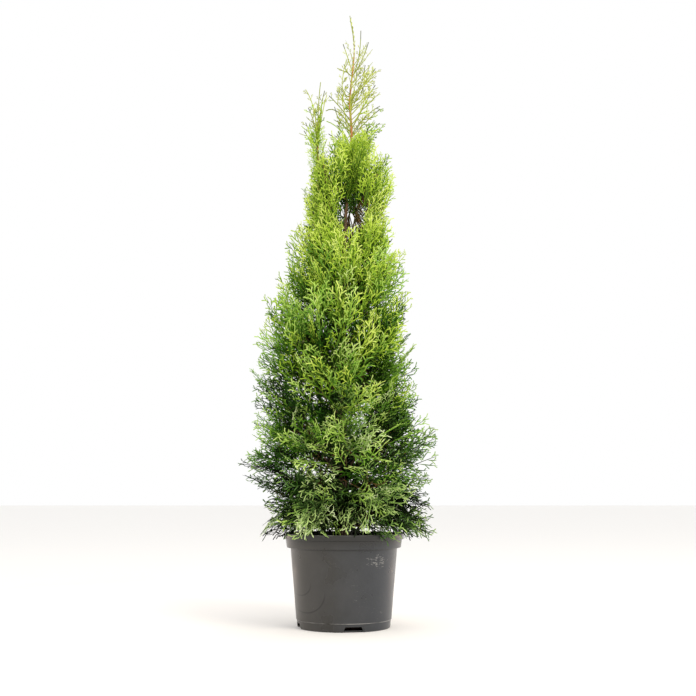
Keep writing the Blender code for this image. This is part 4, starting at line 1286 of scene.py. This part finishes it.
def growInner(mass, leafWork, rng):
    inner = innerSpray
    root = curved(*mass["stemPath"], rng.uniform(*inner["onStem"]))
    if mass["bough"] and rng.random() < inner["boughShare"]:
        root = curved(*mass["boughPath"], rng.uniform(*inner["onBough"]))
    turn = mass["turn"] + rng.uniform(-1.0, 1.0) * mass["spread"] * inner["aside"]
    way = lifted(turn, between(*mass["lift"], rng.random()) + rng.uniform(*inner["lift"]))
    length = mass["length"] * rng.uniform(*inner["length"])
    roll = rng.uniform(-anyRoll, anyRoll)
    bright = max(0.0, (root.z - inner["brightFrom"]) * inner["brightRise"])
    tone = rng.uniform(*inner["tone"]) + min(inner["mostBright"], bright)
    if fits(mass, sprayPlaces(root, way, roll, length, 0.0), inner["reach"]):
        growFan(leafWork, "coarse", root, way, roll, length, mass["droop"], inner["twist"],
                tone, rng)


# Old sprays in dark tones, painted shade of the crown's inside, all the way up the trunk,
# which close the view through the crown. One in six is low, and stands between the soil
# and the skirt.
insideFans = dict(count=210, height=(0.185, 0.78), lift=(5, 50), lowEvery=6,
                  lowHeight=(0.180, 0.250), lowLift=(2, 25), length=(0.080, 0.135),
                  shorter=(1.10, 0.70), twist=0.5, tone=(0.9, 2.6))


def growInside(leafWork):
    rng = random.Random("inside")
    for index in range(insideFans["count"]):
        height = rng.uniform(*insideFans["height"])
        lift = rng.uniform(*insideFans["lift"])
        if index % insideFans["lowEvery"] == 0:
            height = rng.uniform(*insideFans["lowHeight"])
            lift = rng.uniform(*insideFans["lowLift"])
        turn = rng.uniform(0, math.tau)
        length = rng.uniform(*insideFans["length"]) * between(*insideFans["shorter"], height)
        root = stemAt(limbs["trunkBends"], height)
        way = lifted(turn, lift)
        if potClear(root + way * length):
            growFan(leafWork, "coarse", root, way, None, length, 0.0, insideFans["twist"],
                    insideFans["tone"], rng)


goldenTurn = 2.39996  # the turn from one spray to the next on a stem, in radians

# Low fans that spring from near the trunk, arch over the rim and hang outside it
rimFans = dict(count=36, turn=(-0.2, 0.2), baseOut=(0.035, 0.060), baseHeight=(0.200, 0.240),
               tipOut=(0.118, 0.135), tipHeight=(0.170, 0.200), sideOut=0.035, sideUp=0.004,
               lift=(12, 30), twigDrop=0.020, rolls=(30, 80), twist=0.6, cup=(-0.4, 0.2),
               brightShare=0.24, bright=(3.6, 5.0), tone=(0.3, 2.5))


def growOverRim(leafWork, twigWork):
    rng = random.Random("rim")
    for index in range(rimFans["count"]):
        turn = index * goldenTurn + rng.uniform(*rimFans["turn"])
        base = fromTrunk(rng.uniform(*rimFans["baseOut"]), turn,
                         rng.uniform(*rimFans["baseHeight"]))
        beside = abs(math.cos(turn)) ** 2
        tip = fromTrunk(rng.uniform(*rimFans["tipOut"]) + rimFans["sideOut"] * beside, turn,
                        rng.uniform(*rimFans["tipHeight"]) + rimFans["sideUp"] * beside)
        lift = rng.uniform(*rimFans["lift"])
        length = math.hypot(tip.x - base.x, tip.y - base.y) / math.cos(math.radians(lift))
        droop = (base.z + length * math.sin(math.radians(lift)) - tip.z) / length
        way = lifted(turn, lift)
        root = stemAt(limbs["trunkBends"], base.z - rimFans["twigDrop"])
        makeTwig(twigWork, root, between(root, base, 0.6), base + way * length * 0.1,
                 foliage["twig"])
        tones = rimFans["bright"] if rng.random() < rimFans["brightShare"] else rimFans["tone"]
        growFan(leafWork, "full", base, way, (0, between(*rimFans["rolls"], beside)), length,
                droop, rimFans["twist"], rng.uniform(*tones), rng, rimFans["cup"])


# Upright sprays round the trunk near the top: darker ones, painted shade, in the recess,
# where the trunk shows through a small gap, bright ones on its right, and bright ones
# above it, most of them in front
ringFans = dict(count=130, turn=(-0.3, 0.3), height=(0.780, 0.935), brightFrom=0.880,
                frontTurn=(-160, 15), rightTurn=(-66, -30), lift=(40, 66),
                length=(0.056, 0.078), clearShare=0.4, bright=(3.9, 5.4), tone=(2.4, 3.9),
                droop=-0.05, twist=0.6)

# Bright fans in front that end just below the gap
belowGap = dict(count=15, turn=(-128, -48), out=(0.030, 0.060), height=(0.650, 0.690),
                lift=(52, 70), length=(0.060, 0.080), tone=(3.8, 5.4))

# Bright fans towards the right shoulder, then dark ones, painted shade, in front of the trunk
# above the gap
aboveGap = [
    dict(count=16, turn=(-80, 35), lift=(34, 54), height=(0.885, 0.925),
         length=(0.060, 0.076), tone=(4.0, 5.4), fresh=False),
    dict(count=7, turn=(-150, -30), lift=(68, 80), height=(0.815, 0.845),
         length=(0.046, 0.060), tone=(2.6, 3.8), fresh=True),
]


def growTopRing(leafWork):
    rng = random.Random("top ring")
    for index in range(ringFans["count"]):
        height = between(*ringFans["height"], (index + 0.5) / ringFans["count"])
        turn = index * goldenTurn + rng.uniform(*ringFans["turn"])
        bright = height > ringFans["brightFrom"]
        if bright and index % 2:
            turn = math.radians(rng.uniform(*ringFans["frontTurn"]))
        elif not bright and index % 3 == 0:
            turn = math.radians(rng.uniform(*ringFans["rightTurn"]))
            bright = True
        root = stemAt(limbs["trunkBends"], height)
        way = lifted(turn, rng.uniform(*ringFans["lift"]))
        length = rng.uniform(*ringFans["length"])
        places = sprayPlaces(root, way, 0.0, length, 0.0)
        if inTheWay(places) and (bright or rng.random() < ringFans["clearShare"]
                                 or shareIn(places, skyGaps) > 0):
            continue
        tone = rng.uniform(*(ringFans["bright"] if bright else ringFans["tone"]))
        tone += frontTone(root + way * length)
        growFan(leafWork, "light", root, way, foliage["rolls"], length, ringFans["droop"],
                ringFans["twist"], tone, rng, fresh=not bright)
    for index in range(belowGap["count"]):
        turn = math.radians(between(*belowGap["turn"], (index + 0.5) / belowGap["count"]))
        root = fromTrunk(rng.uniform(*belowGap["out"]), turn, rng.uniform(*belowGap["height"]))
        way = lifted(turn, rng.uniform(*belowGap["lift"]))
        growFan(leafWork, "full", root, way, foliage["rolls"], belowGap["length"],
                ringFans["droop"], ringFans["twist"], belowGap["tone"], rng)
    for fans in aboveGap:
        for index in range(fans["count"]):
            turn = math.radians(between(*fans["turn"], (index + 0.5) / fans["count"]))
            way = lifted(turn, rng.uniform(*fans["lift"]))
            placeSpray(leafWork, rng.choice(sprays["light"]),
                       stemAt(limbs["trunkBends"], rng.uniform(*fans["height"])), way,
                       openRoll(way, *foliage["rolls"], rng), rng.uniform(*fans["length"]),
                       ringFans["droop"], rng.uniform(-ringFans["twist"], ringFans["twist"]),
                       0.0, rng.uniform(*fans["tone"]), rng, fans["fresh"])


# Shoots at the top, as the photograph shows them, by the limb that carries them and their
# kind: height of the root, bend to the right and up, and the tip's place to the right, depth
# and height
shoots = [
    ("trunkBends", "whip", [
     (1.104, 0.035, 1.141, 0.035, -0.004, 1.208), (1.109, 0.037, 1.137, 0.051, 0.010, 1.189),
     (1.118, 0.010, 1.146, -0.002, 0.006, 1.183)]),
    ("trunkBends", "long", [
     (0.988, -0.018, 1.062, 0.005, -0.012, 1.142), (1.033, 0.035, 1.076, 0.044, 0.008, 1.138)]),
    ("trunkBends", "fork", [
     (1.066, 0.049, 1.098, 0.065, 0.004, 1.129), (1.059, 0.051, 1.094, 0.065, -0.014, 1.116),
     (1.040, 0.049, 1.066, 0.065, 0.012, 1.096), (1.025, 0.045, 1.057, 0.059, -0.018, 1.074),
     (0.984, 0.041, 1.029, 0.074, 0.006, 1.048), (0.995, 0.037, 1.033, 0.053, -0.020, 1.063),
     (0.978, 0.045, 1.012, 0.074, -0.012, 1.035), (0.961, 0.045, 0.993, 0.074, 0.016, 1.015),
     (0.952, 0.051, 1.001, 0.078, -0.008, 0.991), (0.941, 0.045, 0.973, 0.074, 0.004, 1.002),
     (0.931, 0.037, 0.963, 0.053, -0.024, 0.971), (0.999, -0.016, 1.054, -0.038, 0.012, 1.040),
     (1.012, -0.009, 1.046, -0.031, -0.006, 1.066), (1.038, -0.006, 1.063, -0.015, 0.010, 1.083),
     (0.952, -0.002, 1.000, -0.036, -0.010, 1.010), (0.952, -0.002, 0.995, -0.015, 0.016, 1.011),
     (0.931, -0.002, 0.969, -0.032, 0.004, 0.988)]),
    ("stemBends", "whip", [
     (0.954, -0.054, 1.042, -0.048, -0.016, 1.091)]),
    ("stemBends", "long", [
     (0.954, -0.050, 1.033, -0.040, -0.008, 1.076), (0.954, -0.046, 1.023, -0.035, -0.026, 1.060),
     (0.952, -0.053, 1.036, -0.079, -0.012, 1.077)]),
    ("stemBends", "fork", [
     (0.950, -0.058, 1.008, -0.073, -0.022, 1.034), (0.931, -0.066, 0.973, -0.078, -0.026, 1.001),
     (0.924, -0.068, 0.969, -0.082, -0.008, 0.990),
     (0.950, -0.058, 1.000, -0.060, 0.012, 1.040)]),
    ("trunkBends", "fork", [
     (1.030, 0.018, 1.060, 0.020, 0.040, 1.090), (1.000, 0.013, 1.030, 0.012, -0.046, 1.062),
     (0.975, 0.006, 1.005, 0.002, 0.052, 1.040)]),
]

# For each kind of shoot: where its side forks begin and end, the longest and shortest of
# them in metres, and the space between them
shootKinds = dict(
    whip=dict(forks=(0.12, 0.72), size=(0.013, 0.006), space=0.0070),
    long=dict(forks=(0.22, 0.90), size=(0.022, 0.010), space=0.0100),
    fork=dict(forks=(0.36, 0.97), size=(0.026, 0.013), space=0.0100),
)

# The rest of the leader and of the left plume
leaderShoots = dict(
    tone=(3.6, 5.4), stemRadii=(0.0014, 0.0010), steps=7, darkShare=0.7, greenFrom=1.03,
    # Side forks of a shoot, with their stray in depth and in tone
    forkAngle=(36, 52), forkDepth=(-0.7, 0.7), forkSize=(0.7, 1.2), forkDroop=-0.15,
    forkTone=(-0.5, 0.5),
    # Leafy foot of the left plume
    footSprays=36, footHeight=(0.866, 0.968), footLift=(54, 76), footLength=(0.036, 0.054),
    # Short side shoots all round, longer the further they are below the top
    sideHeight=(0.975, 1.120), sideStep=0.0150, sideLength=(0.24, 0.36), sideTop=1.222,
    sideTurn=2.4, sideBend=(15, 35), sideLift=(48, 64),
    # Its own pressed scales, up to the tip
    scaleHeight=(1.060, 1.236), scaleStep=0.0032, scaleTurn=2.0, scaleLift=(70, 80),
    scaleLength=(0.006, 0.009), scaleTones=(3, 4, 5, 5),
)


def growShoot(leafWork, root, control, tip, kind, rng):
    # A thin curved shoot with small forks on alternate sides and a dark tip
    steps = leaderShoots["steps"]
    path = [curved(root, control, tip, step / steps) for step in range(steps + 1)]
    length = sum((after - before).length for before, after in zip(path, path[1:]))
    tone = rng.uniform(*leaderShoots["tone"])
    green = tip.z > leaderShoots["greenFrom"]
    stemKind = firstOf["shoot"] + rng.randrange(2) if green else round(tone)
    radii = [between(*leaderShoots["stemRadii"], step / steps) for step in range(steps + 1)]
    corners, faces = tubeArrays(path, radii, 3)
    kinds = np.full(len(faces), stemKind)
    if rng.random() < leaderShoots["darkShare"]:
        kinds[corners[faces].mean(axis=1)[:, 2] > path[-2].z] = brownOf["shoot"]
    leafWork.add(corners, faces, kinds)
    side = rng.choice((-1, 1))
    count = round(length * (kind["forks"][1] - kind["forks"][0]) / kind["space"])
    for index in range(count):
        share = between(*kind["forks"], (index + rng.uniform(0.2, 0.8)) / count)
        foot = curved(root, control, tip, share)
        way = (curved(root, control, tip, share + 0.02) - foot).normalized()
        depth = rng.uniform(*leaderShoots["forkDepth"])
        across = (Vector((way.z, depth, -way.x)) * side).normalized()
        out = way + across * math.tan(math.radians(rng.uniform(*leaderShoots["forkAngle"])))
        out.normalize()
        size = between(*kind["size"], share) * rng.uniform(*leaderShoots["forkSize"])
        placeSpray(leafWork, rng.choice(sprays["fork"]), foot, out, openRoll(out, 0, 90, rng),
                   size, leaderShoots["forkDroop"], 0.0, 0.0,
                   tone + rng.uniform(*leaderShoots["forkTone"]), rng)
        side = -side


def growShoots(leafWork):
    rng = random.Random("shoots")
    for carrier, kind, rows in shoots:
        for height, bendRight, bendUp, *tip in rows:
            root = stemAt(limbs[carrier], height)
            control = Vector((bendRight, between(root.y, tip[1], 0.6), bendUp))
            growShoot(leafWork, root, control, Vector(tip), shootKinds[kind], rng)
    for index in range(leaderShoots["footSprays"]):
        height = between(*leaderShoots["footHeight"], index / (leaderShoots["footSprays"] - 1))
        way = lifted(index * leaderShoots["sideTurn"], rng.uniform(*leaderShoots["footLift"]))
        growFan(leafWork, "light", stemAt(limbs["stemBends"], height), way, None,
                leaderShoots["footLength"], -0.04, 0.5, leaderShoots["tone"], rng)
    height, top = leaderShoots["sideHeight"]
    turn = 0.6
    while height < top:
        length = rng.uniform(*leaderShoots["sideLength"]) * (leaderShoots["sideTop"] - height)
        root = stemAt(limbs["trunkBends"], height)
        bend = lifted(turn, rng.uniform(*leaderShoots["sideBend"]))
        out = lifted(turn, rng.uniform(*leaderShoots["sideLift"]))
        growShoot(leafWork, root, root + bend * length * 0.5, root + out * length,
                  shootKinds["fork"], rng)
        height += leaderShoots["sideStep"]
        turn += leaderShoots["sideTurn"]
    height, top = leaderShoots["scaleHeight"]
    while height < top:
        way = lifted(turn, rng.uniform(*leaderShoots["scaleLift"]))
        placeSpray(leafWork, oneScale, stemAt(limbs["trunkBends"], height), way, 0.0,
                   rng.uniform(*leaderShoots["scaleLength"]), 0.0, 0.0, 0.0,
                   rng.choice(leaderShoots["scaleTones"]), rng)
        height += leaderShoots["scaleStep"]
        turn += leaderShoots["scaleTurn"]


# Sprays of the loose plumes, straight from the limb. Where each springs and how long it may
# be are shares of the mass's length.
plumeSprays = dict(count=8, tipCount=3, tries=8, aside=(-0.95, 0.95), reach=(0.6, 1.0),
                   footDrop=1.1, longest=2.2, antlerFrom=1.08, droop=-0.05, twist=0.6)


def growPlume(mass, leafWork):
    rng = random.Random(f"plume {mass['name']}")
    made = 0
    wanted = plumeSprays["tipCount" if mass["top"] == "openTop" else "count"]
    for _ in range(wanted * plumeSprays["tries"]):
        if made == wanted:
            return
        rise = rng.random()
        aside = rng.uniform(*plumeSprays["aside"])
        tip, _ = goalAt(mass, aside, rise, rng.uniform(*plumeSprays["reach"]))
        foot = stemAt(limbs[mass["carrier"]], tip.z - mass["length"] * plumeSprays["footDrop"])
        way = tip - foot
        length = way.length
        if length > mass["length"] * plumeSprays["longest"] or around(tip)[0] < mass["near"]:
            continue
        style = "antler" if tip.z > plumeSprays["antlerFrom"] else "plume"
        growFan(leafWork, style, foot, way.normalized(), None, length, plumeSprays["droop"],
                plumeSprays["twist"], leaderShoots["tone"], rng)
        made += 1


def groupName(mass):
    kind = mass["name"].split("_")[0]
    if kind in ("skirt", "lower", "middle", "high"):
        return kind + ("Front" if math.sin(mass["turn"]) < -0.01 else "Back")
    return "upper" if kind in ("upper", "column") else "leader"


def greenTwig():
    # Two-year twigs: brown skin that still shows green, in patches some 10 mm long
    material = newMaterial("greenTwig", IOR=1.45, Roughness=0.6)
    place = addNode(material, "TexCoord")["Object"]
    patches = addNode(material, "TexNoise", {"Vector": place, "Scale": 110.0,
                                             "Detail": 2.0})["Fac"]
    tint = addNode(material, "ValToRGB", (patches,), [(0.35, "4A4A22"), (0.5, "6B5A2A"),
                                                      (0.65, "7C5228")])["Color"]
    connect(material, Base_Color=tint)
    return material


twigSkin = greenTwig()
groups = {}
for mass in masses:
    groups.setdefault(groupName(mass), []).append(mass)

for group, members in groups.items():
    leafWork, twigWork = Joined(), Joined()
    made = 0
    for mass in members:
        if mass["bough"]:
            makeTwig(twigWork, *mass["stemPath"], (mass["startRadius"], 0.0011), 6, 10)
            made += growMass(mass, leafWork, twigWork)
        else:
            growPlume(mass, leafWork)
    if group == "leader":
        growShoots(leafWork)
        growTopRing(leafWork)
    if group == "skirtFront":
        growOverRim(leafWork, twigWork)
    slot = "young_foliage" if group in ("upper", "leader") else "foliage"
    finishPiece(leafWork.piece(group + "Foliage", leaves, False), slot,
                *[mass["name"] for mass in members])
    if twigWork.count:
        finishPiece(twigWork.piece(group + "Twigs", [twigSkin], True), "bark")
    print(group, made, "twigs")

insideWork = Joined()
growInside(insideWork)
finishPiece(insideWork.piece("innerFoliage", leaves, False), "foliage")
